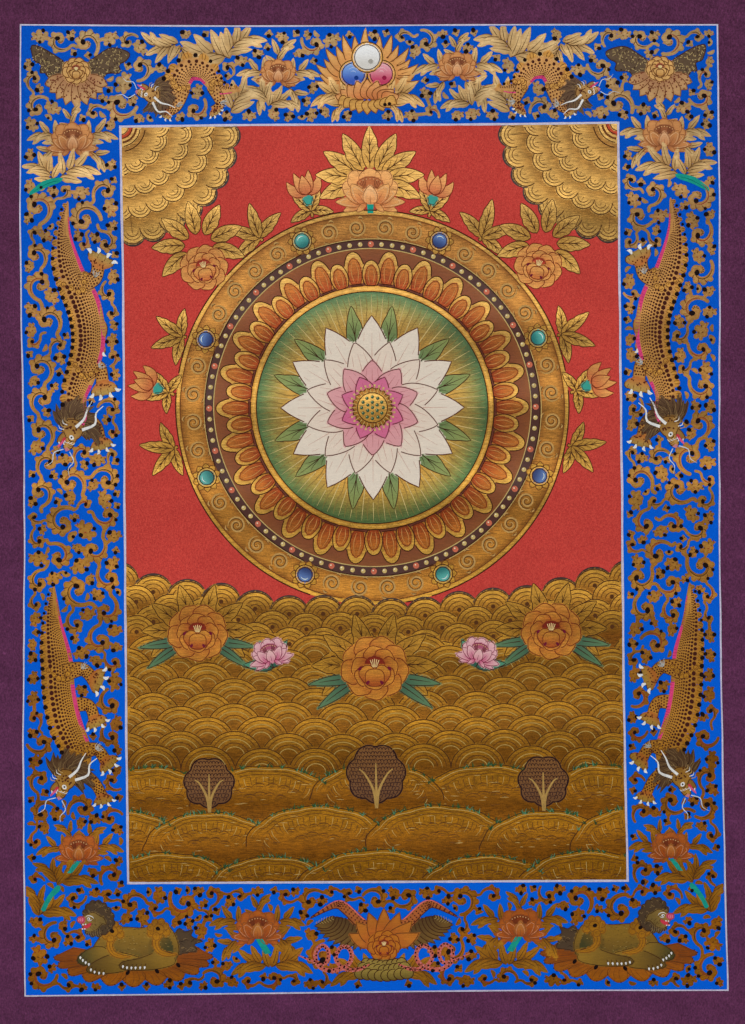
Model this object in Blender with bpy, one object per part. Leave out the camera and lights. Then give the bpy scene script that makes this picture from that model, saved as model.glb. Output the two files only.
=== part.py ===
"""Painted canvas of a scroll painting, hanging from its top edge.

Units are metres, +Z is up, the painted face looks along -Y and +X is to the
viewer's right. The origin is the middle of the top edge, where the canvas is
held, so the whole sheet lies below it.

The canvas is one uncut sheet. Its outline is a slightly drifting rectangle and
its face carries the soft level swells that a rolled canvas keeps when it is
hung up. Both are worked out from the short tables below.
"""

from collections import namedtuple
from math import exp

import bmesh
import bpy

# ---------------------------------------------------------------- sizes
THICKNESS = 0.0012          # primed and painted cotton canvas
TOP_WIDTH = 0.6248
BOTTOM_WIDTH = 0.6300
LEFT_HEIGHT = 0.8472        # down the viewer's left edge
RIGHT_HEIGHT = 0.8432
BOTTOM_DRIFT = 0.0058       # the lower end hangs this far to the right
COLUMNS = 10                # mesh cells across
ROWS = 76                   # mesh cells down

MM = 0.001

# Bulges of the outline: which edge, where along it (share of its length from
# the left or from the top), how far out (+) or in (-), and how wide.
EdgeBulge = namedtuple("EdgeBulge", "edge at out_mm half_width")
EDGE_BULGES = (
    EdgeBulge("left", 0.24, 0.8, 0.13),
    EdgeBulge("left", 0.50, -1.3, 0.12),
    EdgeBulge("left", 0.76, 0.6, 0.12),
    EdgeBulge("right", 0.50, -2.4, 0.16),
    EdgeBulge("right", 0.74, -2.0, 0.13),
    EdgeBulge("top", 0.36, -0.7, 0.14),
    EdgeBulge("bottom", 0.66, -1.4, 0.16),
)

# Level swells left by the roll: height of the crest below the top edge at the
# left side, how much lower it is at the right side, how far it stands towards
# the viewer, its half width, and its strength at the left and right sides.
Swell = namedtuple("Swell", "below_top_mm right_drop_mm out_mm half_width_mm left right")
SWELLS = (
    Swell(70.0, 12.0, 0.7, 17.0, 1.0, 0.8),
    Swell(188.0, -14.0, 1.5, 25.0, 1.0, 1.0),
    Swell(278.0, -10.0, 1.4, 19.0, 1.0, 1.1),
    Swell(342.0, -8.0, 1.3, 15.0, 1.0, 0.9),
    Swell(417.0, -11.0, 1.5, 18.0, 1.0, 1.2),
    Swell(492.0, 13.0, 1.3, 17.0, 1.1, 0.9),
    Swell(536.0, 2.0, 0.6, 9.0, 0.6, 1.0),
    Swell(607.0, -7.0, 1.5, 21.0, 1.0, 0.9),
    Swell(648.0, 8.0, 0.5, 9.0, 0.9, 0.8),
    Swell(697.0, -9.0, 1.2, 18.0, 1.0, 1.0),
    Swell(786.0, 8.0, 1.3, 22.0, 1.0, 1.1),
)

CANVAS_COLOUR = (0.066, 0.022, 0.042, 1.0)   # plum ground of the margin
CANVAS_ROUGHNESS = 0.85


def clear_scene():
    for ob in list(bpy.data.objects):
        bpy.data.objects.remove(ob, do_unlink=True)


def bump(distance, half_width):
    """A soft rounded hump, 1 at its crest and about a third at its half width."""
    return exp(-((distance / half_width) ** 2))


def edge_out(edge, at):
    """How far an edge stands out of its straight line, in metres."""
    return MM * sum(
        b.out_mm * bump(at - b.at, b.half_width) for b in EDGE_BULGES if b.edge == edge
    )


def outline_point(s, t):
    """Where the share s across (0 left, 1 right) and t down (0 top, 1 bottom) lies: x and z."""
    left = -TOP_WIDTH / 2 + t * (BOTTOM_DRIFT - (BOTTOM_WIDTH - TOP_WIDTH) / 2)
    right = TOP_WIDTH / 2 + t * (BOTTOM_DRIFT + (BOTTOM_WIDTH - TOP_WIDTH) / 2)
    left -= edge_out("left", t)
    right += edge_out("right", t)
    height = LEFT_HEIGHT + s * (RIGHT_HEIGHT - LEFT_HEIGHT)
    top = (1 - t) * edge_out("top", s)
    bottom = t * edge_out("bottom", s)
    x = left + s * (right - left)
    z = top - t * height - bottom
    return x, z


def stand_out(s, z):
    """How far the middle of the cloth stands towards the viewer at share s across and height z."""
    total = 0.0
    for w in SWELLS:
        crest = -(w.below_top_mm + s * w.right_drop_mm)
        strength = w.left + s * (w.right - w.left)
        total += w.out_mm * strength * bump(z / MM - crest, w.half_width_mm)
    return total * MM


def canvas_mesh(name):
    """One closed sheet: a front and a back grid of the same outline, joined round the rim."""
    bm = bmesh.new()
    front, back = [], []
    for j in range(ROWS + 1):
        front_row, back_row = [], []
        for i in range(COLUMNS + 1):
            s, t = i / COLUMNS, j / ROWS
            x, z = outline_point(s, t)
            y = -stand_out(s, z)
            front_row.append(bm.verts.new((x, y - THICKNESS / 2, z)))
            back_row.append(bm.verts.new((x, y + THICKNESS / 2, z)))
        front.append(front_row)
        back.append(back_row)

    for j in range(ROWS):
        for i in range(COLUMNS):
            bm.faces.new((front[j][i], front[j + 1][i], front[j + 1][i + 1], front[j][i + 1]))
            bm.faces.new((back[j][i], back[j][i + 1], back[j + 1][i + 1], back[j + 1][i]))
    for i in range(COLUMNS):
        bm.faces.new((front[0][i], front[0][i + 1], back[0][i + 1], back[0][i]))
        bm.faces.new((front[-1][i], back[-1][i], back[-1][i + 1], front[-1][i + 1]))
    for j in range(ROWS):
        bm.faces.new((front[j][0], back[j][0], back[j + 1][0], front[j + 1][0]))
        bm.faces.new((front[j][-1], front[j + 1][-1], back[j + 1][-1], back[j][-1]))

    bmesh.ops.triangulate(bm, faces=bm.faces[:])
    mesh = bpy.data.meshes.new(name)
    bm.to_mesh(mesh)
    bm.free()
    mesh.shade_smooth()
    mesh.set_sharp_from_angle(angle=0.7)
    return mesh


def canvas_material(name):
    mat = bpy.data.materials.new(name)
    mat.use_nodes = True
    shader = mat.node_tree.nodes["Principled BSDF"]
    shader.inputs["Base Color"].default_value = CANVAS_COLOUR
    shader.inputs["Roughness"].default_value = CANVAS_ROUGHNESS
    shader.inputs["Metallic"].default_value = 0.0
    return mat


def main():
    clear_scene()
    mesh = canvas_mesh("painted_canvas")
    mesh.materials.append(canvas_material("canvas"))
    ob = bpy.data.objects.new("painted_canvas", mesh)
    bpy.context.scene.collection.objects.link(ob)


main()
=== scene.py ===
"""Looks of the painted canvas: a hanging sheet with a painted border and centre panel.

The canvas is one closed sheet on the folds of its CAD solid. Gold, colours and
brush lines lie on it as thin layers of paint, drawn by the functions below in
a flat plane and then laid over the uneven cloth.
"""

import math

import bpy
import numpy as np
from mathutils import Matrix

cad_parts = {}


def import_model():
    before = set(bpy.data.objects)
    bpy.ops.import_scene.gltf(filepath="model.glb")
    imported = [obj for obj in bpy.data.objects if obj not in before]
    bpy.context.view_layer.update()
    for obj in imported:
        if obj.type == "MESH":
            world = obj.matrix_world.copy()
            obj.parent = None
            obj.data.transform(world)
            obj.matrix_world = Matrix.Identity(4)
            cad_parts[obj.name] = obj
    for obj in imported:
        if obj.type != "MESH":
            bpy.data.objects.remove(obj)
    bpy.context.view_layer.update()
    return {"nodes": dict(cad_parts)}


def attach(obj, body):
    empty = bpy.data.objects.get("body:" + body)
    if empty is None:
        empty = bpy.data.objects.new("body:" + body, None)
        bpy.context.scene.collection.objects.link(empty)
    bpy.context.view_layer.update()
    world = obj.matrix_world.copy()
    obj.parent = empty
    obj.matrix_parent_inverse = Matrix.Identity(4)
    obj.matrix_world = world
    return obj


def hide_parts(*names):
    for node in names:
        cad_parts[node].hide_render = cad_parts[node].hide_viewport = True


# The painted design is worked out in a flat plane measured in "dots", 0.8 mm
# each, x to the right and y down. Silhouettes are kept as distances on a fine
# grid and cut out along their edge; brush lines, dots and small touches of
# colour are outlines of their own.

OX0, OX1, OY0, OY1 = 22.0, 722.0, 25.0, 992.0      # outer white line
IX0, IX1, IY0, IY1 = 124.0, 622.0, 125.0, 882.0    # inner white line

INK = (0.050, 0.014, 0.006)
INK_SOFT = (0.155, 0.050, 0.014)
INK_RED = (0.30, 0.035, 0.020)
NEAR_BLACK = (0.010, 0.004, 0.004)
WHITE = (0.80, 0.79, 0.76)
TEAL = (0.010, 0.330, 0.255)
MAGENTA = (0.72, 0.045, 0.190)


def mix(a, b, t):
    return tuple(p + (q - p) * t for p, q in zip(a, b))


def curve(points, n=24):
    """A smooth curve through the given points, n steps in all."""
    p = np.asarray(points, float)
    if len(p) == 2:
        t = np.linspace(0, 1, n)[:, None]
        return p[0] + (p[1] - p[0]) * t
    e = np.vstack([2 * p[0] - p[1], p, 2 * p[-1] - p[-2]])
    m = len(p) - 1
    u = np.linspace(0, m, n)
    k = np.minimum(u.astype(int), m - 1)
    t = (u - k)[:, None]
    a, b, c, d = e[k], e[k + 1], e[k + 2], e[k + 3]
    return 0.5 * (2 * b + (c - a) * t + (2 * a - 5 * b + 4 * c - d) * t**2 + (3 * b - a - 3 * c + d) * t**3)


def normals(pts):
    d = np.gradient(np.asarray(pts, float), axis=0)
    d /= np.maximum(np.linalg.norm(d, axis=1, keepdims=True), 1e-9)
    return np.stack([-d[:, 1], d[:, 0]], 1)


def turn(pts, angle):
    c, s = math.cos(angle), math.sin(angle)
    return np.asarray(pts, float) @ np.array([[c, s], [-s, c]])


def inside(points, poly):
    """Which points lie inside a closed outline."""
    p = np.atleast_2d(points)
    a = np.asarray(poly)
    b = np.roll(a, -1, 0)
    x, y = p[:, 0][:, None], p[:, 1][:, None]
    cross = (a[:, 1] > y) != (b[:, 1] > y)
    with np.errstate(divide="ignore", invalid="ignore"):
        at = a[:, 0] + (y - a[:, 1]) * (b[:, 0] - a[:, 0]) / (b[:, 1] - a[:, 1])
    return (np.sum(cross & (x < at), axis=1) % 2).astype(bool)


class Field:
    """Painted ground on a square grid: distance inside the silhouette, colour, and how metallic."""

    def __init__(self, x0, y0, x1, y1, h):
        self.h = h
        self.x0, self.y0 = x0, y0
        self.nx = int(round((x1 - x0) / h)) + 1
        self.ny = int(round((y1 - y0) / h)) + 1
        self.xs = x0 + h * np.arange(self.nx)
        self.ys = y0 + h * np.arange(self.ny)
        self.f = np.full((self.ny, self.nx), -60.0)
        self.c = np.zeros((self.ny, self.nx, 4))

    def window(self, xa, ya, xb, yb):
        i0 = max(0, int(math.floor((xa - self.x0) / self.h)))
        i1 = min(self.nx, int(math.ceil((xb - self.x0) / self.h)) + 1)
        j0 = max(0, int(math.floor((ya - self.y0) / self.h)))
        j1 = min(self.ny, int(math.ceil((yb - self.y0) / self.h)) + 1)
        if i1 <= i0 or j1 <= j0:
            return None
        X, Y = np.meshgrid(self.xs[i0:i1], self.ys[j0:j1])
        return (slice(j0, j1), slice(i0, i1)), X, Y

    def put(self, at, d, colour=None, metal=1.0, soft=0.0):
        """Join a shape, whose distance is d, to the silhouette."""
        f = self.f[at]
        if colour is not None:
            m = d > -0.6 * self.h
            if soft > 0:
                k = np.clip(0.5 + d / soft, 0, 1)[..., None]
            else:
                k = m[..., None].astype(float)
            col = np.empty(d.shape + (4,))
            col[..., :3] = colour
            col[..., 3] = metal
            self.c[at] = self.c[at] * (1 - k) + col * k
        self.f[at] = np.maximum(f, d)

    def stroke(self, pts, rad, colour=None, metal=1.0, soft=0.0):
        pts = np.asarray(pts, float)
        rad = np.broadcast_to(np.asarray(rad, float), (len(pts),))
        pad = rad.max() + 3
        w = self.window(pts[:, 0].min() - pad, pts[:, 1].min() - pad, pts[:, 0].max() + pad, pts[:, 1].max() + pad)
        if w is None:
            return
        at, X, Y = w
        d = np.full(X.shape, -60.0)
        for (ax, ay), (bx, by), ra, rb in zip(pts[:-1], pts[1:], rad[:-1], rad[1:]):
            vx, vy = bx - ax, by - ay
            q = vx * vx + vy * vy
            t = np.clip(((X - ax) * vx + (Y - ay) * vy) / max(q, 1e-9), 0, 1)
            d = np.maximum(d, ra + (rb - ra) * t - np.hypot(X - ax - t * vx, Y - ay - t * vy))
        self.put(at, d, colour, metal, soft)

    def disc(self, x, y, r, colour=None, metal=1.0, soft=0.0):
        w = self.window(x - r - 3, y - r - 3, x + r + 3, y + r + 3)
        if w is None:
            return
        at, X, Y = w
        self.put(at, r - np.hypot(X - x, Y - y), colour, metal, soft)

    def poly(self, poly, colour=None, metal=1.0, soft=0.0, cut=False):
        P = np.asarray(poly, float)
        w = self.window(P[:, 0].min() - 3, P[:, 1].min() - 3, P[:, 0].max() + 3, P[:, 1].max() + 3)
        if w is None:
            return
        at, X, Y = w
        d2 = np.full(X.shape, 1e9)
        ins = np.zeros(X.shape, bool)
        for (ax, ay), (bx, by) in zip(P, np.roll(P, -1, 0)):
            vx, vy = bx - ax, by - ay
            q = vx * vx + vy * vy
            if q < 1e-12:
                continue
            t = np.clip(((X - ax) * vx + (Y - ay) * vy) / q, 0, 1)
            d2 = np.minimum(d2, (X - ax - t * vx) ** 2 + (Y - ay - t * vy) ** 2)
            if ay != by:
                ins ^= ((ay > Y) != (by > Y)) & (X < ax + (Y - ay) * vx / vy)
        d = np.sqrt(d2)
        d = np.where(ins, d, -d)
        if cut:
            self.f[at] = np.minimum(self.f[at], -d)
            return
        if callable(colour):
            colour = colour(X, Y, d)
        self.put(at, d, colour, metal, soft)


class Ink:
    """Brush lines, dots and small patches, each an outline with one colour and a height above the ground."""

    def __init__(self):
        self.items = []      # (kind, points, colour, height)

    def line(self, pts, width=0.75, colour=INK, height=2, taper=(0.35, 0.35)):
        pts = np.asarray(pts, float)
        n = len(pts)
        if n < 2:
            return
        s = np.linspace(0, 1, n)
        w = np.full(n, 0.5 * width) if np.isscalar(width) else 0.5 * np.asarray(width, float)
        if taper:
            a, b = taper
            if a > 0:
                w = w * np.clip(0.25 + 0.75 * s / a, 0, 1)
            if b > 0:
                w = w * np.clip(0.25 + 0.75 * (1 - s) / b, 0, 1)
        self.items.append(("line", pts, w, colour, height))

    def dot(self, x, y, r, colour=NEAR_BLACK, height=3, n=8, stretch=1.0, angle=0.0):
        a = np.linspace(0, 2 * math.pi, n, endpoint=False) + 0.3 * x
        p = turn(np.stack([np.cos(a) * r * stretch, np.sin(a) * r], 1), angle) + (x, y)
        self.items.append(("patch", p, None, colour, height))

    def patch(self, poly, colour, height=1):
        self.items.append(("patch", np.asarray(poly, float), None, colour, height))

    def add(self, other):
        self.items += other.items


def hidden_by(marks, poly):
    """The ink that is left once a shape is laid over it."""
    lo, hi = poly.min(0), poly.max(0)
    kept = []
    for m in marks:
        p = m[1]
        if (p.max(0) < lo).any() or (p.min(0) > hi).any():
            kept.append(m)
            continue
        under = inside(p, poly)
        if not under.any():
            kept.append(m)
        elif m[0] == "line":
            keep = ~under
            start = None
            for i in range(len(p) + 1):
                if i < len(p) and keep[i]:
                    if start is None:
                        start = i
                elif start is not None:
                    if i - start >= 2:
                        kept.append(("line", p[start:i], m[2][start:i], m[3], m[4]))
                    start = None
        elif under.mean() < 0.34:
            kept.append(m)
    return kept


def trimmed(marks, allowed):
    """The ink that lies where allowed(points) says so."""
    kept = []
    for m in marks:
        ok = allowed(m[1])
        if ok.all():
            kept.append(m)
        elif m[0] == "line":
            start = None
            for i in range(len(ok) + 1):
                if i < len(ok) and ok[i]:
                    if start is None:
                        start = i
                elif start is not None:
                    if i - start >= 2:
                        kept.append(("line", m[1][start:i], m[2][start:i], m[3], m[4]))
                    start = None
    return kept


class Motif:
    """Shapes laid one over another, with their brush lines. A shape hides the lines under it."""

    def __init__(self):
        self.shapes = []   # (outline, colour, metal, soft)
        self.marks = []    # ink items

    def shape(self, poly, colour, metal=1.0, line=INK, width=0.75, hide=True, soft=0.0, shaded=None):
        poly = np.asarray(poly, float)
        if hide and self.marks:
            self.marks = hidden_by(self.marks, poly)
        self.shapes.append((poly, colour, metal, soft, shaded))
        if line is not None and width > 0:
            closed = np.vstack([poly, poly[:1]])
            self.marks.append(("line", closed, np.full(len(closed), width * 0.5), line, 2))

    def line(self, pts, width=0.75, colour=INK, height=2, taper=(0.35, 0.35)):
        k = Ink()
        k.line(pts, width, colour, height, taper)
        self.marks += k.items

    def dot(self, x, y, r, colour=NEAR_BLACK, height=3, n=8, stretch=1.0, angle=0.0):
        k = Ink()
        k.dot(x, y, r, colour, height, n, stretch, angle)
        self.marks += k.items

    def patch(self, poly, colour, height=1):
        self.marks.append(("patch", np.asarray(poly, float), None, colour, height))

    def stamp(self, field, ink, x=0.0, y=0.0, scale=1.0, angle=0.0, mirror=False, tone=None):
        """Lay the motif on a field. tone(colour, x, y) may warm or darken its colours."""
        def place(p):
            p = np.asarray(p, float) * scale
            if mirror:
                p = p * (-1, 1)
            return turn(p, angle) + (x, y)

        everything = np.vstack([q[0] for q in self.shapes]) if self.shapes else None
        near, far = [], ink.items
        if everything is not None:
            box = place(everything)
            lo, hi = box.min(0), box.max(0)
            near, far = [], []
            for m in ink.items:
                p = m[1]
                away = (p.max(0) < lo).any() or (p.min(0) > hi).any()
                (far if away else near).append(m)
        for poly, colour, metal, soft, shaded in self.shapes:
            P = place(poly)
            if near:
                near = hidden_by(near, P)
            cx, cy = P.mean(0)
            base = tone(colour, cx, cy) if tone and metal > 0.5 else colour
            if shaded is None:
                field.poly(P, base, metal, soft)
            else:
                start, end, other = shaded
                a, b = place([start])[0], place([end])[0]
                v = b - a
                q = max(float(v @ v), 1e-6)
                end_colour = tone(other, cx, cy) if tone and metal > 0.5 else other

                def paint(X, Y, d, a=a, v=v, q=q, base=base, end_colour=end_colour):
                    t = np.clip(((X - a[0]) * v[0] + (Y - a[1]) * v[1]) / q, 0, 1)[..., None]
                    t = t * t * (3 - 2 * t)
                    return np.asarray(base) * (1 - t) + np.asarray(end_colour) * t

                field.poly(P, paint, metal, soft)
        ink.items = far + near
        for kind, p, w, colour, height in self.marks:
            ink.items.append((kind, place(p), None if w is None else w * max(scale, 0.6), colour, height))


def cut_out(field, level=0.0):
    """Marching squares: vertices, faces and colours of the part of a field above the level."""
    f = field.f - level
    ny, nx = f.shape
    pos = f > 0
    X, Y = np.meshgrid(field.xs, field.ys)
    # crossings on level and upright grid lines
    hx = pos[:, :-1] != pos[:, 1:]
    vx = pos[:-1] != pos[1:]
    with np.errstate(divide="ignore", invalid="ignore"):
        th = np.clip(f[:, :-1] / (f[:, :-1] - f[:, 1:]), 0.08, 0.92)
        tv = np.clip(f[:-1] / (f[:-1] - f[1:]), 0.08, 0.92)
    gid = np.full((ny, nx), -1)
    gid[pos] = np.arange(pos.sum())
    n = int(pos.sum())
    hid = np.full(hx.shape, -1)
    hid[hx] = n + np.arange(hx.sum())
    n += int(hx.sum())
    vid = np.full(vx.shape, -1)
    vid[vx] = n + np.arange(vx.sum())
    H = (X[:, :-1] + th * (X[:, 1:] - X[:, :-1]))[hx], Y[:, :-1][hx]
    V = X[:-1][vx], (Y[:-1] + tv * (Y[1:] - Y[:-1]))[vx]
    verts = np.concatenate([np.stack([X[pos], Y[pos]], 1), np.stack(H, 1), np.stack(V, 1)])
    c = field.c
    inh = np.where(pos[:, :-1][..., None], c[:, :-1], c[:, 1:])[hx]
    inv = np.where(pos[:-1][..., None], c[:-1], c[1:])[vx]
    cols = np.concatenate([c[pos], inh, inv])
    # the corners of a cell in order: 0 top left, 1 top right, 2 lower right, 3 lower left
    case = pos[:-1, :-1] * 1 + pos[:-1, 1:] * 2 + pos[1:, 1:] * 4 + pos[1:, :-1] * 8
    ids = {
        0: gid[:-1, :-1], 1: gid[:-1, 1:], 2: gid[1:, 1:], 3: gid[1:, :-1],
        4: hid[:-1], 5: vid[:, 1:], 6: hid[1:], 7: vid[:, :-1],
    }
    table = {
        1: [(0, 4, 7)], 2: [(1, 5, 4)], 3: [(0, 1, 5, 7)], 4: [(2, 6, 5)], 5: [(0, 4, 7), (2, 6, 5)],
        6: [(1, 2, 6, 4)], 7: [(0, 1, 2, 6, 7)], 8: [(3, 7, 6)], 9: [(0, 4, 6, 3)], 10: [(1, 5, 4), (3, 7, 6)],
        11: [(0, 1, 5, 6, 3)], 12: [(2, 3, 7, 5)], 13: [(0, 4, 5, 2, 3)], 14: [(1, 2, 3, 7, 4)], 15: [(0, 1, 2, 3)],
    }
    faces = []
    for k, polys in table.items():
        m = case == k
        if m.any():
            for p in polys:
                faces.append(np.stack([ids[q][m] for q in p], 1))
    return verts, faces, cols
# ---------------------------------------------------------------- scrollwork

def clear_distance(field_like, X, Y, boxes, limit=24.0):
    """Distance from each point to the nearest gold and to the edges of the strip."""
    x0, y0, x1, y1 = boxes
    d = np.minimum(np.minimum(X - x0, x1 - X), np.minimum(Y - y0, y1 - Y))
    f = field_like.f
    edge = f > -0.2
    solid = edge.copy()
    inner = np.zeros_like(edge)
    inner[1:-1, 1:-1] = edge[1:-1, 1:-1] & edge[:-2, 1:-1] & edge[2:, 1:-1] & edge[1:-1, :-2] & edge[1:-1, 2:]
    edge &= ~inner
    ey, ex = np.nonzero(edge)
    px = field_like.xs[ex]
    py = field_like.ys[ey]
    out = d.copy()
    if len(px):
        order = np.argsort(py)
        px, py = px[order], py[order]
        for j in range(X.shape[0]):
            y = Y[j, 0]
            a = np.searchsorted(py, y - limit)
            b = np.searchsorted(py, y + limit)
            if b <= a:
                continue
            qx, qy = px[a:b], py[a:b]
            dd = np.sqrt(((X[j][:, None] - qx) ** 2 + (y - qy) ** 2).min(1))
            out[j] = np.minimum(out[j], dd)
        gx = np.clip(np.round((X - field_like.x0) / field_like.h).astype(int), 0, field_like.nx - 1)
        gy = np.clip(np.round((Y - field_like.y0) / field_like.h).astype(int), 0, field_like.ny - 1)
        out = np.where(solid[gy, gx], -1.0, out)
    return out


def pack_rings(D, X, Y, rng, biggest, smallest, gap, allowed=None):
    """Fill the free ground with rings, the largest first."""
    D = D.copy()
    if allowed is not None:
        D = np.where(allowed, D, -1)
    rings = []
    while True:
        top = D.max()
        if top - gap < smallest:
            break
        good = np.argwhere(D > min(top, biggest + gap) * 0.93)
        j, i = good[rng.integers(len(good))]
        x, y = X[j, i], Y[j, i]
        r = min(D[j, i] - gap, biggest * rng.uniform(0.72, 1.0))
        rings.append((x, y, r))
        D = np.minimum(D, np.hypot(X - x, Y - y) - r - gap)
    return rings


def lobes(field, pts, rad, spacing, size, side, colour_at, jut=1.0):
    """Scallops along one side of a stroke."""
    nrm = normals(pts)
    seg = np.linalg.norm(np.diff(pts, axis=0), axis=1)
    s = np.concatenate([[0], np.cumsum(seg)])
    k = max(1, int(s[-1] / spacing))
    at = (np.arange(k) + 0.5) * s[-1] / k
    out = []
    for a in at:
        x = np.interp(a, s, pts[:, 0])
        y = np.interp(a, s, pts[:, 1])
        nx, ny = np.interp(a, s, nrm[:, 0]), np.interp(a, s, nrm[:, 1])
        r = np.interp(a, s, rad)
        q = min(size, r * 1.05)
        ox, oy = x + side * nx * (r - q + jut), y + side * ny * (r - q + jut)
        field.disc(ox, oy, q, colour_at(ox, oy))
        out.append((x, y, side * nx, side * ny, r))
    return out


TICK = (0.100, 0.034, 0.010)


def scroll_curl(field, ink, x, y, R, start, hand, rng, tone, parent=None):
    """One branch of the vine: it runs round a ring, lobed on its outer side, and curls in to a lobed leaf with a dark eye."""
    big = float(np.clip((R - 9.0) / 6.0, 0, 1))
    thick = float(np.clip(0.145 * R, 1.55, 2.45))
    lobe = 2.3 + 1.0 * big
    sweep = math.radians(rng.uniform(232, 258) - 30 * (1 - big))
    n = 28
    t = np.linspace(0, 1, n)
    base = R - thick * 1.3 - lobe * 0.80
    a = start + hand * (t * sweep + math.radians(16))
    r = base + np.interp(t, [0, 0.14, 0.3, 1.0], [R - base - thick * 0.6, 0.5 * (R - base - thick), 0.0, -0.06 * R])
    pts = np.stack([x + r * np.cos(a), y + r * np.sin(a)], 1)
    rad = thick * np.interp(t, [0, 0.2, 0.45, 0.8, 1.0], [0.80, 0.98, 1.36, 1.42, 1.15])
    if parent is not None:
        px, py, pr = parent
        ux, uy = x - px, y - py
        q = math.hypot(ux, uy)
        ux, uy = ux / q, uy / q
        ring = max(pr - 3.4, pr * 0.76)
        first = np.array([px + ux * ring, py + uy * ring])
        side = np.array([-uy, ux]) * hand
        mid = 0.5 * (first + pts[0]) - side * 1.0
        pts = np.vstack([curve([first - side * 4.2, mid, pts[0]], 6)[:-1], pts])
        rad = np.concatenate([np.full(5, thick * 0.86), rad])
    colour_at = lambda u, v: tone(u, v, rng)
    own = colour_at(x, y)
    field.stroke(pts, rad, own)
    k0, k1 = len(pts) - int(n * 0.72), len(pts) - int(n * 0.06)
    lob = lobes(field, pts[k0:k1], rad[k0:k1], 4.7 + 1.4 * big, lobe, -hand, colour_at, lobe * 0.86)
    # the curled leaf in the middle
    ae = a[-1]
    tang = np.array([-math.sin(ae), math.cos(ae)]) * hand
    inn = -np.array([math.cos(ae), math.sin(ae)])
    room = base - thick * 1.2
    head = room * (0.50 - 0.05 * big)
    hc = np.array([x, y]) - inn * room * (0.12 + 0.26 * (1 - big)) + tang * room * 0.10
    neck = curve([pts[-1], pts[-1] + tang * room * 0.34 + inn * room * 0.16, hc + tang * head * 0.55, hc], 8)
    field.stroke(neck, np.linspace(thick * 1.0, head * 0.78, 8), own)
    field.disc(hc[0], hc[1], head * 0.86, own)
    away = math.atan2(tang[1], tang[0])
    count = 5 if big > 0.4 else 4
    for i in range(count):
        b = away + hand * math.radians(-6 + i * (232 / count))
        q = head * (0.46 if i % 2 else 0.52)
        ox, oy = hc[0] + math.cos(b) * head * 0.72, hc[1] + math.sin(b) * head * 0.72
        field.disc(ox, oy, q, colour_at(ox, oy))
        if i < count - 1:
            b2 = b + hand * math.radians(116 / count)
            p0 = hc + head * 1.0 * np.array([math.cos(b2), math.sin(b2)])
            p1 = hc + head * 0.36 * np.array([math.cos(b2 + 0.5 * hand), math.sin(b2 + 0.5 * hand)])
            ink.line(curve([p0, (p0 + p1) / 2, p1], 4), 0.9, INK_RED if rng.random() < 0.25 else TICK, 2, (0, 0.6))
    # a pointed tip flicks out of the ring
    f = away + hand * math.radians(rng.uniform(-24, 2))
    tip = np.array([math.cos(f), math.sin(f)])
    out = np.array([tip[1], -tip[0]]) * hand
    field.stroke(curve([hc + tip * head * 0.5, hc + tip * head * 1.25 + out * head * 0.1, hc + tip * head * (1.75 + 0.2 * big) + out * head * 0.55], 7),
                 np.linspace(head * 0.5, 0.35, 7), own)
    # the eye closes the blue hook between the leaf and the stem
    e = pts[-1] + inn * (rad[-1] + 1.5) - tang * (1.2 + 1.6 * big)
    q = 1.75 + 0.75 * big + rng.uniform(-0.15, 0.25)
    ink.dot(e[0], e[1], q, NEAR_BLACK, 3, 9, rng.uniform(1.05, 1.3), away)
    # brush lines: one along the stem and a short hook at each lobe
    m0, m1 = len(pts) - int(n * 0.86), len(pts) - int(n * 0.10)
    off = normals(pts)[m0:m1] * (hand * rad[m0:m1, None] * 0.30)
    ink.line(pts[m0:m1] + off, 0.9, INK_RED if rng.random() < 0.4 else TICK, 2, (0.15, 0.35))
    for i in range(1, len(lob)):
        (px0, py0, qx, qy, _), (lx, ly, nx, ny, lr) = lob[i - 1], lob[i]
        mx, my = (lx + px0) / 2, (ly + py0) / 2
        ux, uy = (nx + qx) / 2, (ny + qy) / 2
        p0 = np.array([mx + ux * (lr + lobe * 0.55), my + uy * (lr + lobe * 0.55)])
        p1 = np.array([mx - ux * lr * 0.1, my - uy * lr * 0.1])
        tv = np.array([lx - px0, ly - py0]) * 0.22
        ink.line(curve([p0, (p0 + p1) / 2 + tv, p1 + tv * 1.4], 5), 0.72, TICK, 2, (0, 0.5))
        if rng.random() < 0.22:
            ink.dot(p0[0], p0[1], rng.uniform(1.7, 2.2), NEAR_BLACK, 3, 8)


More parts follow.
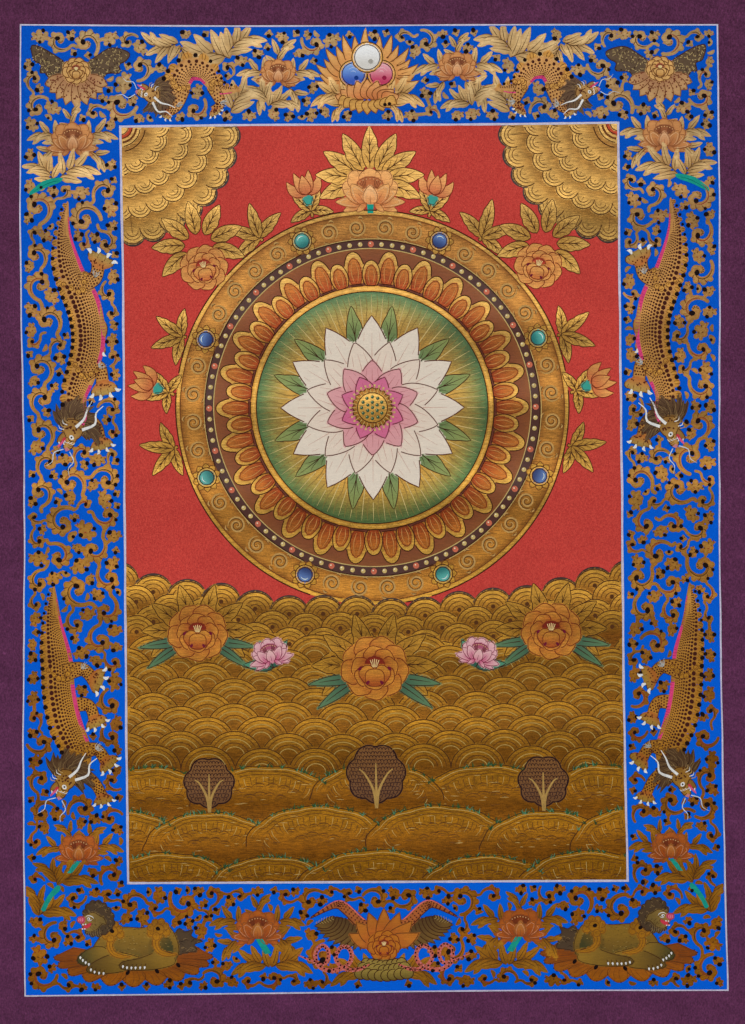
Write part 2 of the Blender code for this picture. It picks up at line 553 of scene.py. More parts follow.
def scroll_cluster(field, ink, x, y, R, start, rng, tone, to=None):
    """A small lobed leaf: it swells from its stem, bends and ends in a point, with dark eyes in its notches."""
    colour_at = lambda u, v: tone(u, v, rng)
    own = colour_at(x, y)
    hand = 1 if rng.random() < 0.5 else -1
    along = -np.array([math.cos(start), math.sin(start)])
    side = np.array([-along[1], along[0]]) * hand
    o = np.array([x, y])
    spine = curve([o - along * R * 0.9, o - along * R * 0.25 + side * R * 0.16, o + along * R * 0.42, o + along * R * 0.98 - side * R * 0.58], 13)
    field.stroke(spine, R * np.interp(np.linspace(0, 1, 13), [0, 0.3, 0.55, 0.8, 1], [0.22, 0.36, 0.42, 0.26, 0.05]), own)
    if to is not None:
        p = curve([spine[1], ((spine[0][0] + to[0]) / 2 + rng.uniform(-1, 1), (spine[0][1] + to[1]) / 2 + rng.uniform(-1, 1)), to], 6)
        field.stroke(p, np.linspace(max(R * 0.26, 1.3), 1.6, 6), own)
    nrm = normals(spine)
    spots = ((0.18, 1, 0.30), (0.26, -1, 0.34), (0.46, 1, 0.38), (0.56, -1, 0.34), (0.74, 1, 0.26)) if R > 4.6 else ((0.26, -1, 0.40), (0.40, 1, 0.40), (0.60, -1, 0.34))
    for f, g, q in spots:
        k = int(round(f * 12))
        n = nrm[k] * g * hand
        p = spine[k] + n * R * (0.52 - 0.14 * f)
        field.disc(p[0], p[1], R * q, colour_at(*p))
        j = min(k + 2, 12)
        e0 = spine[j] + nrm[j] * g * hand * R * 0.30
        e1 = spine[j] + nrm[j] * g * hand * R * 0.08
        ink.line(curve([e0, (e0 + e1) / 2 - along * R * 0.05, e1 - along * R * 0.16], 5), 0.9, INK_RED if rng.random() < 0.2 else TICK, 2, (0, 0.6))
    ways = (-1,) if R < 5.0 else (1, -1)
    for g in ways:
        if R > 5.0 and g < 0 and rng.random() < 0.4:
            continue
        k = 4 if g > 0 else 5
        p = spine[k] + nrm[k] * g * hand * R * 0.74
        ink.dot(p[0], p[1], rng.uniform(1.75, 2.35), NEAR_BLACK, 3, 9, rng.uniform(1.0, 1.25), rng.uniform(0, 3))


def fill_scrolls(field, ink, box, rng, tone, biggest=17.5):
    """Grow the branching vine over all the ground that is still free in the box."""
    x0, y0, x1, y1 = box
    step = 1.5
    X, Y = np.meshgrid(np.arange(x0, x1 + step / 2, step), np.arange(y0, y1 + step / 2, step))
    edge = (x0 + 2.2, y0 + 2.2, x1 - 2.2, y1 - 2.2)
    D = clear_distance(field, X, Y, edge)
    rings = pack_rings(D, X, Y, rng, biggest, 8.2, 0.5)
    done, hand = {}, {}
    order = []
    left = set(range(len(rings)))
    while left:
        best = None
        for i in left:
            for j in done:
                g = math.hypot(rings[i][0] - rings[j][0], rings[i][1] - rings[j][1]) - rings[i][2] - rings[j][2]
                if best is None or g < best[0]:
                    best = (g, i, j)
        if best is None or best[0] > 7:
            i = max(left, key=lambda q: rings[q][2])
            done[i] = None
            hand[i] = 1 if rng.random() < 0.5 else -1
        else:
            _, i, j = best
            done[i] = j
            hand[i] = -hand[j] if rng.random() < 0.85 else hand[j]
        order.append(i)
        left.discard(i)
    for i in order:
        x, y, r = rings[i]
        j = done[i]
        if j is None:
            scroll_curl(field, ink, x, y, r, rng.uniform(0, 6.28), hand[i], rng, tone)
        else:
            px, py, pr = rings[j]
            a = math.atan2(py - y, px - x)
            scroll_curl(field, ink, x, y, r, a, hand[i], rng, tone, (px, py, pr))
    D = clear_distance(field, X, Y, edge)
    small = pack_rings(D, X, Y, rng, 9.5, 3.3, 2.0)
    for x, y, r in small:
        j = min(range(len(rings)), key=lambda q: abs(math.hypot(rings[q][0] - x, rings[q][1] - y) - rings[q][2])) if rings else None
        to = None
        a = rng.uniform(0, 6.28)
        if j is not None:
            px, py, pr = rings[j]
            a = math.atan2(py - y, px - x)
            q = math.hypot(px - x, py - y)
            if r > 3.4 and q - pr - r < 10 and rng.random() < 0.85:
                ux, uy = (x - px) / q, (y - py) / q
                to = (px + ux * (pr - 2.5), py + uy * (pr - 2.5))
        scroll_cluster(field, ink, x, y, r + 0.9, a, rng, tone, to)
    D = clear_distance(field, X, Y, edge)
    for x, y, r in pack_rings(D, X, Y, rng, 6.0, 2.6, 2.3):
        a = rng.uniform(0, 6.28)
        k = r + 1.2
        p = curve([(x - math.cos(a) * k, y - math.sin(a) * k), (x + math.sin(a) * k * 0.35, y - math.cos(a) * k * 0.35), (x + math.cos(a) * k, y + math.sin(a) * k)], 7)
        field.stroke(p, [0.7, r * 0.55, r * 0.75, r * 0.8, r * 0.65, r * 0.5, 0.4], tone(x, y, rng))
        field.disc(x + math.sin(a) * r * 0.5, y - math.cos(a) * r * 0.5, r * 0.62, tone(x, y, rng))
        if r > 2.8:
            ink.dot(x, y, rng.uniform(1.3, 1.9), NEAR_BLACK, 3, 8)
    return rings


# The paler, less saturated gold at 300 and 470 dots down is painted sheen: white light on the metal put into its
# colour.
GOLD_DOWN = ((60, (0.350, 0.272, 0.132)), (300, (0.405, 0.262, 0.096)), (470, (0.450, 0.285, 0.096)), (630, (0.385, 0.228, 0.066)), (720, (0.285, 0.145, 0.026)), (890, (0.380, 0.188, 0.019)))


def border_tone(x, y, rng=None):
    """Gold of the border: pale in the upper half, where the paleness is partly painted sheen, browner towards the foot.
    """
    at = [k for k, _ in GOLD_DOWN]
    base = tuple(float(np.interp(y, at, [c[i] for _, c in GOLD_DOWN])) for i in range(3))
    if rng is not None:
        k = 1 + rng.uniform(-0.10, 0.10)
        warm = rng.uniform(-0.04, 0.06)
        base = (base[0] * k * (1 + warm), base[1] * k, base[2] * k * (1 - warm))
    return base
# ---------------------------------------------------------------- flowers, leaves, dragons

PALE = (0.640, 0.490, 0.215)
LOTUS = (0.360, 0.130, 0.038)
LOTUS_LIGHT = (0.550, 0.275, 0.092)


def petal_outline(base, angle, length, width, point=0.8, bend=0.0, n=11):
    """A petal or leaf from its base: widest past the middle, drawn to a tip. Angle 0 points up."""
    t = np.linspace(0, 1, n)
    w = width * np.sin(math.pi * t ** point) ** 0.85
    mid = bend * np.sin(math.pi * t * 0.9) + bend * 0.5 * t
    a = np.stack([mid - w, -t * length], 1)
    b = np.stack([mid + w, -t * length], 1)[::-1]
    return turn(np.vstack([a, b[1:-1]]), angle) + np.asarray(base, float)


def leaf(m, base, angle, length, width, bend=0.0, cuts=0, colour=PALE, other=None, metal=1.0, line=INK,
         width_line=0.75, veins=0, hook=0.0):
    """One leaf: curved midrib, plain or notched sides, a dark vein and a fine outline."""
    n = 17 if cuts else 11
    t = np.linspace(0, 1, n)
    spine = np.stack([bend * (t ** 1.6) * length + hook * np.clip((t - 0.75) / 0.25, 0, 1) ** 2 * length, -t * length], 1)
    prof = np.sin(math.pi * t ** 0.82) ** 0.8
    prof[-1] = 0.0
    nr = normals(spine)
    wl = width * prof * (1 + (0.42 * np.abs(np.sin(math.pi * cuts * t)) - 0.16 if cuts else 0))
    wr = width * prof * 0.86
    if bend < 0:
        wl, wr = wr, wl
    left = spine + nr * wl[:, None]
    right = spine - nr * wr[:, None]
    poly = np.vstack([left, right[::-1][1:-1]])
    P = turn(poly, angle) + np.asarray(base, float)
    sp = turn(spine, angle) + np.asarray(base, float)
    if other is None:
        other = mix(colour, (1, 0.9, 0.6), 0.18)
    m.shape(P, colour, metal, line, width_line, shaded=(sp[0], sp[-1], other))
    m.line(sp[1:-2], width_line * 1.15, line, 2, (0.1, 0.5))
    if veins:
        for k in range(veins):
            i = 2 + int((n - 6) * (k + 0.5) / veins)
            for side, w in ((1, wl), (-1, wr)):
                q = spine[i + 2] + nr[i + 2] * side * w[i + 2] * 0.78
                e = turn(np.array([spine[i], (spine[i] + q) / 2 + (0, 0.3), q]), angle) + np.asarray(base, float)
                m.line(curve(e, 5), width_line * 0.8, line, 2, (0, 0.6))


def finger(m, p, a, size, wide, curl, low, high, vein, side):
    """One pointed leaf finger: no outline, a vein down its middle and a fine line along its inner edge."""
    t = np.linspace(0, 1, 13)
    mid = curl * size * t ** 1.8
    w = wide * np.sin(math.pi * t ** 0.72) ** 0.75
    w[-1] = 0.0
    outer = w * (1 + 0.26 * np.abs(np.sin(2.0 * math.pi * t)) - 0.10)
    l, r = (outer, w * 0.82) if side < 0 else (w * 0.82, outer)
    poly = np.vstack([np.stack([mid - l, -t * size], 1), np.stack([mid + r, -t * size], 1)[::-1][1:-1]])
    spine = turn(np.stack([mid, -t * size], 1), a) + p
    m.shape(turn(poly, a) + p, low, 1.0, None, 0, shaded=(spine[0], spine[-1], high))
    inner = turn(np.stack([mid + (l * -0.96 if side > 0 else r * 0.96), -t * size], 1), a) + p
    m.line(inner[1:9], 0.65, vein, 2, (0.2, 0.7))
    if size > 9:
        m.line(spine[1:11], 0.7, vein, 2, (0.2, 0.8))


def spray(m, base, angle, length, n=5, spread=1.9, width=0.17, lean=0.0, colour=PALE, rng=None, vein=(0.082, 0.034, 0.010), light=0.24):
    """A feathery leaf: pointed fingers that spring in turn from both sides of a curved midrib."""
    way = 1 if lean >= 0 else -1
    base = np.asarray(base, float)
    d, s = turn([(0, -1), (1, 0)], angle)
    L = length
    rib = curve([base, base + (d * 0.22 - s * way * 0.05) * L, base + (d * 0.42 - s * way * 0.03) * L, base + (d * 0.58 + s * way * 0.07) * L], 16)
    light = light * float(np.clip((colour[2] - 0.02) / 0.12, 0.30, 1.0))
    low, high = mix(colour, (0.13, 0.055, 0.012), 0.30), mix(colour, (1, 0.88, 0.55), light)
    wide = 0.104 * L

    def one(k, side, off, size, curl):
        k = int(k)
        t = rib[min(k + 1, 15)] - rib[max(k - 1, 0)]
        a = math.atan2(t[0], -t[1]) + side * off
        q = size * (rng.uniform(0.93, 1.08) if rng is not None else 1)
        finger(m, rib[k], a, q, wide * (0.8 + 0.3 * q / L), curl * side, low, high, vein, side)

    one(14, way, 0.02, 0.48 * L, 0.22)
    steps = n + 1
    for i in range(steps):
        f = 0.82 - 0.80 * i / max(steps - 1, 1)
        side = -way if i % 2 else way
        one(15 * f, side, 0.34 + 0.26 * spread * (1 - f) * 0.9, L * (0.54 - 0.10 * f), 0.20)
    m.line(rib[:13], 0.75, vein, 2, (0.1, 0.6))


def round_petal(base, angle, length, width, peak=0.10, bend=0.0, n=9):
    """A broad petal, widest near its end, with a small point."""
    t = np.linspace(0, 1, n)
    w = width * (0.34 + 0.66 * t ** 0.7) * np.sqrt(np.clip(1 - t ** 3.4, 0, 1))
    mid = bend * t * t
    a = np.stack([mid - w, -t * length], 1)
    b = np.stack([mid + w, -t * length], 1)[::-1]
    tip = np.array([[bend, -length * (1 + peak)]])
    return turn(np.vstack([a[:-1], tip, b[1:]]), angle) + np.asarray(base, float)


def lotus(m, size, light=LOTUS_LIGHT, dark=LOTUS, line=(0.235, 0.075, 0.026), heart=True, metal=0.6):
    """An open lotus seen from the side: broad wavy petals, a hatched crown, pointed petals in front; about 2.2 sizes wide."""
    s = size
    pale = mix(light, (1.0, 0.80, 0.60), 0.22)

    def petal(base, a, L, w, bend=0.0, lo=dark, hi=light, rim=True):
        r = math.radians(a)
        base = (base[0] * s, base[1] * s)
        end = (base[0] + L * s * math.sin(r), base[1] - L * s * math.cos(r))
        t = np.linspace(0, 1, 12)
        ww = w * s * np.sin(math.pi * t ** 0.80) ** 0.70
        ww[-1] = 0
        mid = bend * s * t * t
        poly = np.vstack([np.stack([mid - ww, -t * L * s], 1), np.stack([mid + ww, -t * L * s], 1)[::-1][1:-1]])
        m.shape(turn(poly, r) + base, lo, metal, line, 0.55, shaded=(base, end, hi))
        if rim:
            q = np.vstack([np.stack([mid - ww * 0.72, -t * L * s * 0.90], 1)[2:-1], np.stack([mid + ww * 0.72, -t * L * s * 0.90], 1)[::-1][1:-2]])
            m.line(turn(q, r) + base, 0.45, pale, 2, (0.3, 0.3))
            m.line(turn(np.stack([mid, -t * L * s], 1)[1:7], r) + base, 0.5, line, 2, (0.2, 0.7))

    def broad(base, a, L, w, waves=3, lo=dark, hi=light):
        r = math.radians(a)
        base = (base[0] * s, base[1] * s)
        end = (base[0] + L * s * math.sin(r), base[1] - L * s * math.cos(r))
        v = np.linspace(0, 1, 27)
        ang = math.pi * (1.12 - 1.24 * v)
        rad = 1 + 0.075 * np.abs(np.sin(math.pi * waves * v)) - 0.03
        p = np.stack([w * s * np.cos(ang) * rad, -L * s * 0.62 - L * s * 0.40 * np.sin(ang) * rad], 1)
        p = np.vstack([[(-w * s * 0.45, 0)], p, [(w * s * 0.45, 0)]])
        m.shape(turn(p, r) + base, lo, metal, line, 0.55, shaded=(base, end, hi))
        for k in range(1, waves):
            v0 = k / waves
            ang0 = math.pi * (1.12 - 1.24 * v0)
            c = np.array([w * s * math.cos(ang0), -L * s * 0.62 - L * s * 0.40 * math.sin(ang0)])
            m.line(turn([c * 0.97, c * 0.84 + (0, -0.2)], r) + base, 0.5, line, 2, (0, 0.6))

    for a, L, w in ((-66, 0.82, 0.30), (66, 0.82, 0.30), (-36, 0.92, 0.32), (36, 0.92, 0.32), (0, 0.86, 0.36)):
        broad((0.002 * a, 0.18), a, L, w)
    if heart:
        t = np.linspace(0, 2 * math.pi, 26, endpoint=False)
        crown = mix(dark, (0.10, 0.02, 0.008), 0.35)
        m.shape(np.stack([0.44 * s * np.cos(t), -0.15 * s + 0.27 * s * np.sin(t) * (1 + 0.06 * np.cos(14 * t))], 1), crown, metal, line, 0.6)
        for k in range(15):
            u = (k - 7) / 7
            p0, p1 = np.array([0.28 * s * u, -0.04 * s]), np.array([0.41 * s * u, -0.36 * s + 0.15 * s * u * u])
            m.line([p0, p1], 0.5, (0.105, 0.022, 0.010), 2, (0, 0))
            if k % 2:
                m.dot(p1[0], p1[1], 0.62, (0.62, 0.36, 0.14), 3, 6)
    for a in (-104, 104):
        petal((0.0022 * a, 0.50), a, 0.72, 0.13, 0.06 * (1 if a > 0 else -1), rim=False)
    for a in (-82, 82):
        petal((0.002 * a, 0.46), a, 1.00, 0.19, 0.10 * (1 if a > 0 else -1))
    for a in (-56, 56):
        petal((0.002 * a, 0.46), a, 0.90, 0.23, 0.08 * (1 if a > 0 else -1))
    for a in (-30, 30):
        petal((0.006 * a, 0.50), a, 0.82, 0.23, 0.04 * (1 if a > 0 else -1))
    petal((0, 0.56), 0, 0.70, 0.245, 0.0, mix(dark, light, 0.45), pale)
    for a in (-133, 133):
        petal((0.001 * a, 0.46), a, 0.44, 0.10, 0.0, rim=False)


def peony(m, size, light, dark, line, heart=(0.30, 0.03, 0.03), metal=0.7, eyes=True):
    """A round full flower: scalloped petals in three rows round a crown of stamens."""
    s = size

    def cup(cx, cy, r, a, squash=0.86, k=5):
        t = np.linspace(0, 2 * math.pi, 26, endpoint=False)
        rr = r * (1 + 0.055 * np.abs(np.sin(k * 0.5 * t)) * 2)
        p = np.stack([rr * np.cos(t), rr * np.sin(t) * squash], 1)
        return turn(p, a) + (cx, cy)

    for ang in (-150, -110, -70, -30, 10, 50, 90, 130, 170):
        a = math.radians(ang)
        cx, cy = 0.66 * s * math.cos(a), 0.60 * s * math.sin(a)
        m.shape(cup(cx, cy, 0.34 * s, a + math.pi / 2), dark, metal, line, 0.8,
                shaded=((cx * 0.4, cy * 0.4), (cx * 1.6, cy * 1.6), light))
    for ang in (-135, -90, -45, 0, 180, 45, 135, 90):
        a = math.radians(ang)
        cx, cy = 0.40 * s * math.cos(a), 0.36 * s * math.sin(a)
        m.shape(cup(cx, cy, 0.29 * s, a + math.pi / 2), dark, metal, line, 0.8,
                shaded=((cx * 0.2, cy * 0.2), (cx * 1.9, cy * 1.9), light))
    t = np.linspace(0, 2 * math.pi, 22, endpoint=False)
    m.shape(np.stack([0.27 * s * np.cos(t), -0.12 * s + 0.20 * s * np.sin(t)], 1), heart, metal, line, 0.7)
    for k in range(9):
        u = (k - 4) / 4
        m.line([(0.10 * s * u, -0.02 * s), (0.25 * s * u, -0.26 * s + 0.07 * s * abs(u))], 0.75, mix(light, (1, 0.85, 0.4), 0.5), 2, (0, 0))
    for ang in (35, 145, 90):
        a = math.radians(ang)
        cx, cy = 0.24 * s * math.cos(a), 0.06 * s + 0.22 * s * math.sin(a)
        m.shape(cup(cx, cy, (0.25 if ang != 90 else 0.27) * s, a + math.pi / 2, 0.9, 4), dark, metal, line, 0.8,
                shaded=((cx, cy + 0.25 * s), (cx, cy - 0.25 * s), light))
    if eyes:
        for x, y in ((-0.42, 0.02), (0.42, 0.02), (-0.2, 0.42), (0.2, 0.42)):
            m.dot(x * s, y * s, 0.045 * s, (0.16, 0.01, 0.03), 3, 8, 1.6, 0.9 * (1 if x > 0 else -1))


def scaled_body(m, path, width, rng, back=-1, belly=MAGENTA, dark=(0.060, 0.012, 0.008), skin=(0.500, 0.295, 0.100),
                belly_from=0.06, belly_to=0.97, fins=True, fin_colour=(0.46, 0.27, 0.06), pitch=2.35, belly_share=0.15, gaps=()):
    """A serpent's body along a path: dark scales that shrink from the back to the belly band."""
    P = curve(path, 64)
    seg = np.linalg.norm(np.diff(P, axis=0), axis=1)
    s = np.concatenate([[0], np.cumsum(seg)])
    L = s[-1]
    u = s / L
    w = np.interp(u, *zip(*width)) * 1.10
    N = normals(P)
    poly = np.vstack([P + N * w[:, None], (P - N * w[:, None])[::-1]])
    if fins:
        k = int(L / 8.8)
        spots = []
        for i in range(k):
            a = (i + 0.5) / k
            x, y = np.interp(a, u, P[:, 0]), np.interp(a, u, P[:, 1])
            nx, ny = np.interp(a, u, N[:, 0]) * back, np.interp(a, u, N[:, 1]) * back
            ww = np.interp(a, u, w)
            r = np.clip(ww * 0.46, 2.4, 4.9)
            c = np.array([x + nx * (ww + r * 0.42), y + ny * (ww + r * 0.42)])
            t = np.linspace(0, 2 * math.pi, 12, endpoint=False)
            m.shape(np.stack([np.cos(t), np.sin(t)], 1) * r + c, fin_colour, 1.0, None, 0)
            for v in (-0.5, 0.15):
                m.line(curve([c + np.array([nx, ny]) * r * 0.85 + np.array([-ny, nx]) * r * v, c + np.array([-ny, nx]) * r * (v + 0.2), c - np.array([nx, ny]) * r * 0.5], 5), 0.6, INK_SOFT, 2, (0, 0.4))
            spots.append((c, np.array([nx, ny]), r))
        for (c0, n0, r0), (c1, n1, r1) in zip(spots[:-1], spots[1:]):
            e = (c0 + c1) / 2 + (n0 + n1) / 2 * r0 * 0.62
            m.dot(e[0], e[1], np.clip(0.5 * r0, 1.5, 2.35) + rng.uniform(-0.15, 0.15), NEAR_BLACK, 3, 9)
    m.shape(poly, skin, 0.75, None, 0)
    # belly band
    stops = [belly_from]
    for g0, g1 in sorted(gaps):
        stops += [max(g0, stops[-1]), max(g1, stops[-1])]
    stops.append(belly_to)
    for g0, g1 in zip(stops[::2], stops[1::2]):
        sel = (u > g0) & (u < g1)
        if sel.sum() < 3:
            continue
        Pb, Nb, wb = P[sel], N[sel] * -back, w[sel]
        outer = Pb + Nb * wb[:, None]
        inner = Pb + Nb * (wb * (1 - 2 * belly_share))[:, None]
        m.patch(np.vstack([outer, inner[::-1]]), belly, 1)
    kb = int(L / 3.2)
    for i in range(kb):
        a = belly_from + (belly_to - belly_from) * (i + 0.5) / kb
        if any(g0 <= a <= g1 for g0, g1 in gaps):
            continue
        x, y = np.interp(a, u, P[:, 0]), np.interp(a, u, P[:, 1])
        nx, ny = np.interp(a, u, N[:, 0]) * -back, np.interp(a, u, N[:, 1]) * -back
        ww = np.interp(a, u, w)
        m.line([(x + nx * ww, y + ny * ww), (x + nx * ww * (1 - 2 * belly_share), y + ny * ww * (1 - 2 * belly_share))], 0.5,
               mix(belly, (0.2, 0, 0.03), 0.6), 2, None)
    # scales: rows along the body, large at the back and tiny beside the belly band
    most = max(float(w.max()), 1.0)
    sizes = (2.35, 1.62, 1.30, 1.12, 0.98, 0.86, 0.76, 0.66)
    left = 2 * most - 2 * belly_share * most - 1.0
    squeeze = min(left / (2 * sum(sizes) + 0.55 * 7 + 1.0), 1.0)
    at = most - 0.9 - sizes[0] * squeeze
    for c, size in enumerate(sizes):
        r0 = size * squeeze
        v = at / most
        along = (0.3 + 0.5 * (c % 2)) * (2 * r0 + 1.1)
        while along < L * 0.985:
            a = along / L
            ww = np.interp(a, u, w)
            k = ww / most
            x, y = np.interp(a, u, P[:, 0]), np.interp(a, u, P[:, 1])
            nx, ny = np.interp(a, u, N[:, 0]) * back, np.interp(a, u, N[:, 1]) * back
            r = r0 * (0.12 + 0.88 * k)
            if r > 0.42 and not (k < 0.5 and c % 2 and c > 2):
                m.dot(x + nx * ww * v, y + ny * ww * v, r * rng.uniform(0.93, 1.07), dark, 3, 6 if r < 1.2 else 8, 1.08, rng.uniform(0, 3))
            along += 2 * r + 1.15
        if c < 7:
            at -= (r0 + sizes[c + 1] * squeeze + 0.55)
    return P, N, w, u


def limb(m, path, width, rng, toes=4, spread=1.9, skin=(0.49, 0.285, 0.09), size=1.0, aim=None):
    """A scaled leg with a broad paw and curved white claws along its rim."""
    P = curve(path, 16)
    w = np.interp(np.linspace(0, 1, 16), [0, 0.3, 0.6, 0.85, 1], [width * 1.15, width * 1.05, width * 0.86, width * 0.82, width * 1.0])
    N = normals(P)
    m.shape(np.vstack([P + N * w[:, None], (P - N * w[:, None])[::-1]]), skin, 0.75, INK, 0.6)
    L = np.linalg.norm(np.diff(P, axis=0), axis=1).sum()
    rows = max(int(L / 2.5), 2)
    for i in range(rows):
        a = (i + 0.5) / rows * 15
        j = min(int(a), 14)
        c0 = P[j] + (P[j + 1] - P[j]) * (a - j)
        half = w[j]
        k = max(int(2 * half / 3.0), 2)
        for v in range(k):
            q = c0 + N[j] * half * (-0.84 + 1.68 * (v + (0.75 if i % 2 else 0.25)) / k)
            m.dot(q[0], q[1], 1.0 if v in (0, k - 1) else 0.85, (0.075, 0.014, 0.008), 3, 6)
    d = P[-1] - P[-3]
    a0 = math.atan2(d[0], -d[1]) if aim is None else aim
    k0 = size * width / 7.0
    t = np.linspace(0, 2 * math.pi, 22, endpoint=False)
    c = P[-1] + turn([(0, -1.9 * k0)], a0)[0]
    wob = 1 + 0.05 * np.cos(4 * t + 0.6)
    paw = turn(np.stack([np.cos(t) * 8.6 * k0 * wob, np.sin(t) * 5.2 * k0 * wob], 1), a0)
    for k in range(toes):
        u = (k / (toes - 1) - 0.5) * spread
        q = turn([(8.0 * k0 * math.sin(u * 1.15), -3.0 * k0 * math.cos(u * 1.1))], a0)[0] + c
        m.shape(np.stack([np.cos(t), np.sin(t)], 1) * 2.9 * k0 + q, (0.40, 0.26, 0.07), 0.6, INK, 0.7)
    m.shape(paw + c, (0.46, 0.175, 0.040), 0.6, None, 0, shaded=(c - turn([(0, -5.0 * k0)], a0)[0], c + turn([(0, -5.0 * k0)], a0)[0], (0.40, 0.31, 0.10)))
    for k in range(13):
        q = turn([(rng.uniform(-6.2, 6.2) * k0, rng.uniform(-0.6, 3.8) * k0)], a0)[0] + c
        m.dot(q[0], q[1], 0.8, (0.12, 0.025, 0.012), 3, 6)
    for k in range(4):
        u = (k - 1.5) * 0.42
        b0 = turn([(8.4 * k0 * math.sin(u * 1.5), -1.4 * k0 + 0.6 * abs(u))], a0)[0] + c
        b1 = turn([(9.2 * k0 * math.sin(u * 1.5) * 0.96, -4.6 * k0 * math.cos(u))], a0)[0] + c
        m.line([b0, b1], 0.6, (0.14, 0.03, 0.012), 3, (0, 0.5))
    for k in range(toes):
        u = (k / (toes - 1) - 0.5) * spread
        b = turn([(9.0 * k0 * math.sin(u * 1.15), -4.6 * k0 * math.cos(u * 1.1))], a0)[0] + c
        way = -1 if u < 0 else 1
        claw = petal_outline(b, a0 + u * 1.1 + 0.5 * way, 4.7 * k0, 1.45 * k0, 0.5, -1.1 * k0 * way, 7)
        m.patch(claw, WHITE, 4)


def tuft(m, base, angle, length, n, rng, colour=(0.50, 0.50, 0.47), spread=1.6, width=0.7):
    for _ in range(n):
        a = angle + rng.uniform(-spread / 2, spread / 2)
        L = length * rng.uniform(0.6, 1.05)
        tip = turn([(0, -L)], a)[0]
        mid = turn([(rng.uniform(-0.2, 0.2) * L, -0.5 * L)], a)[0]
        m.line(curve([base, np.asarray(base) + mid, np.asarray(base) + tip], 6), width, colour, 4, (0, 0.8))


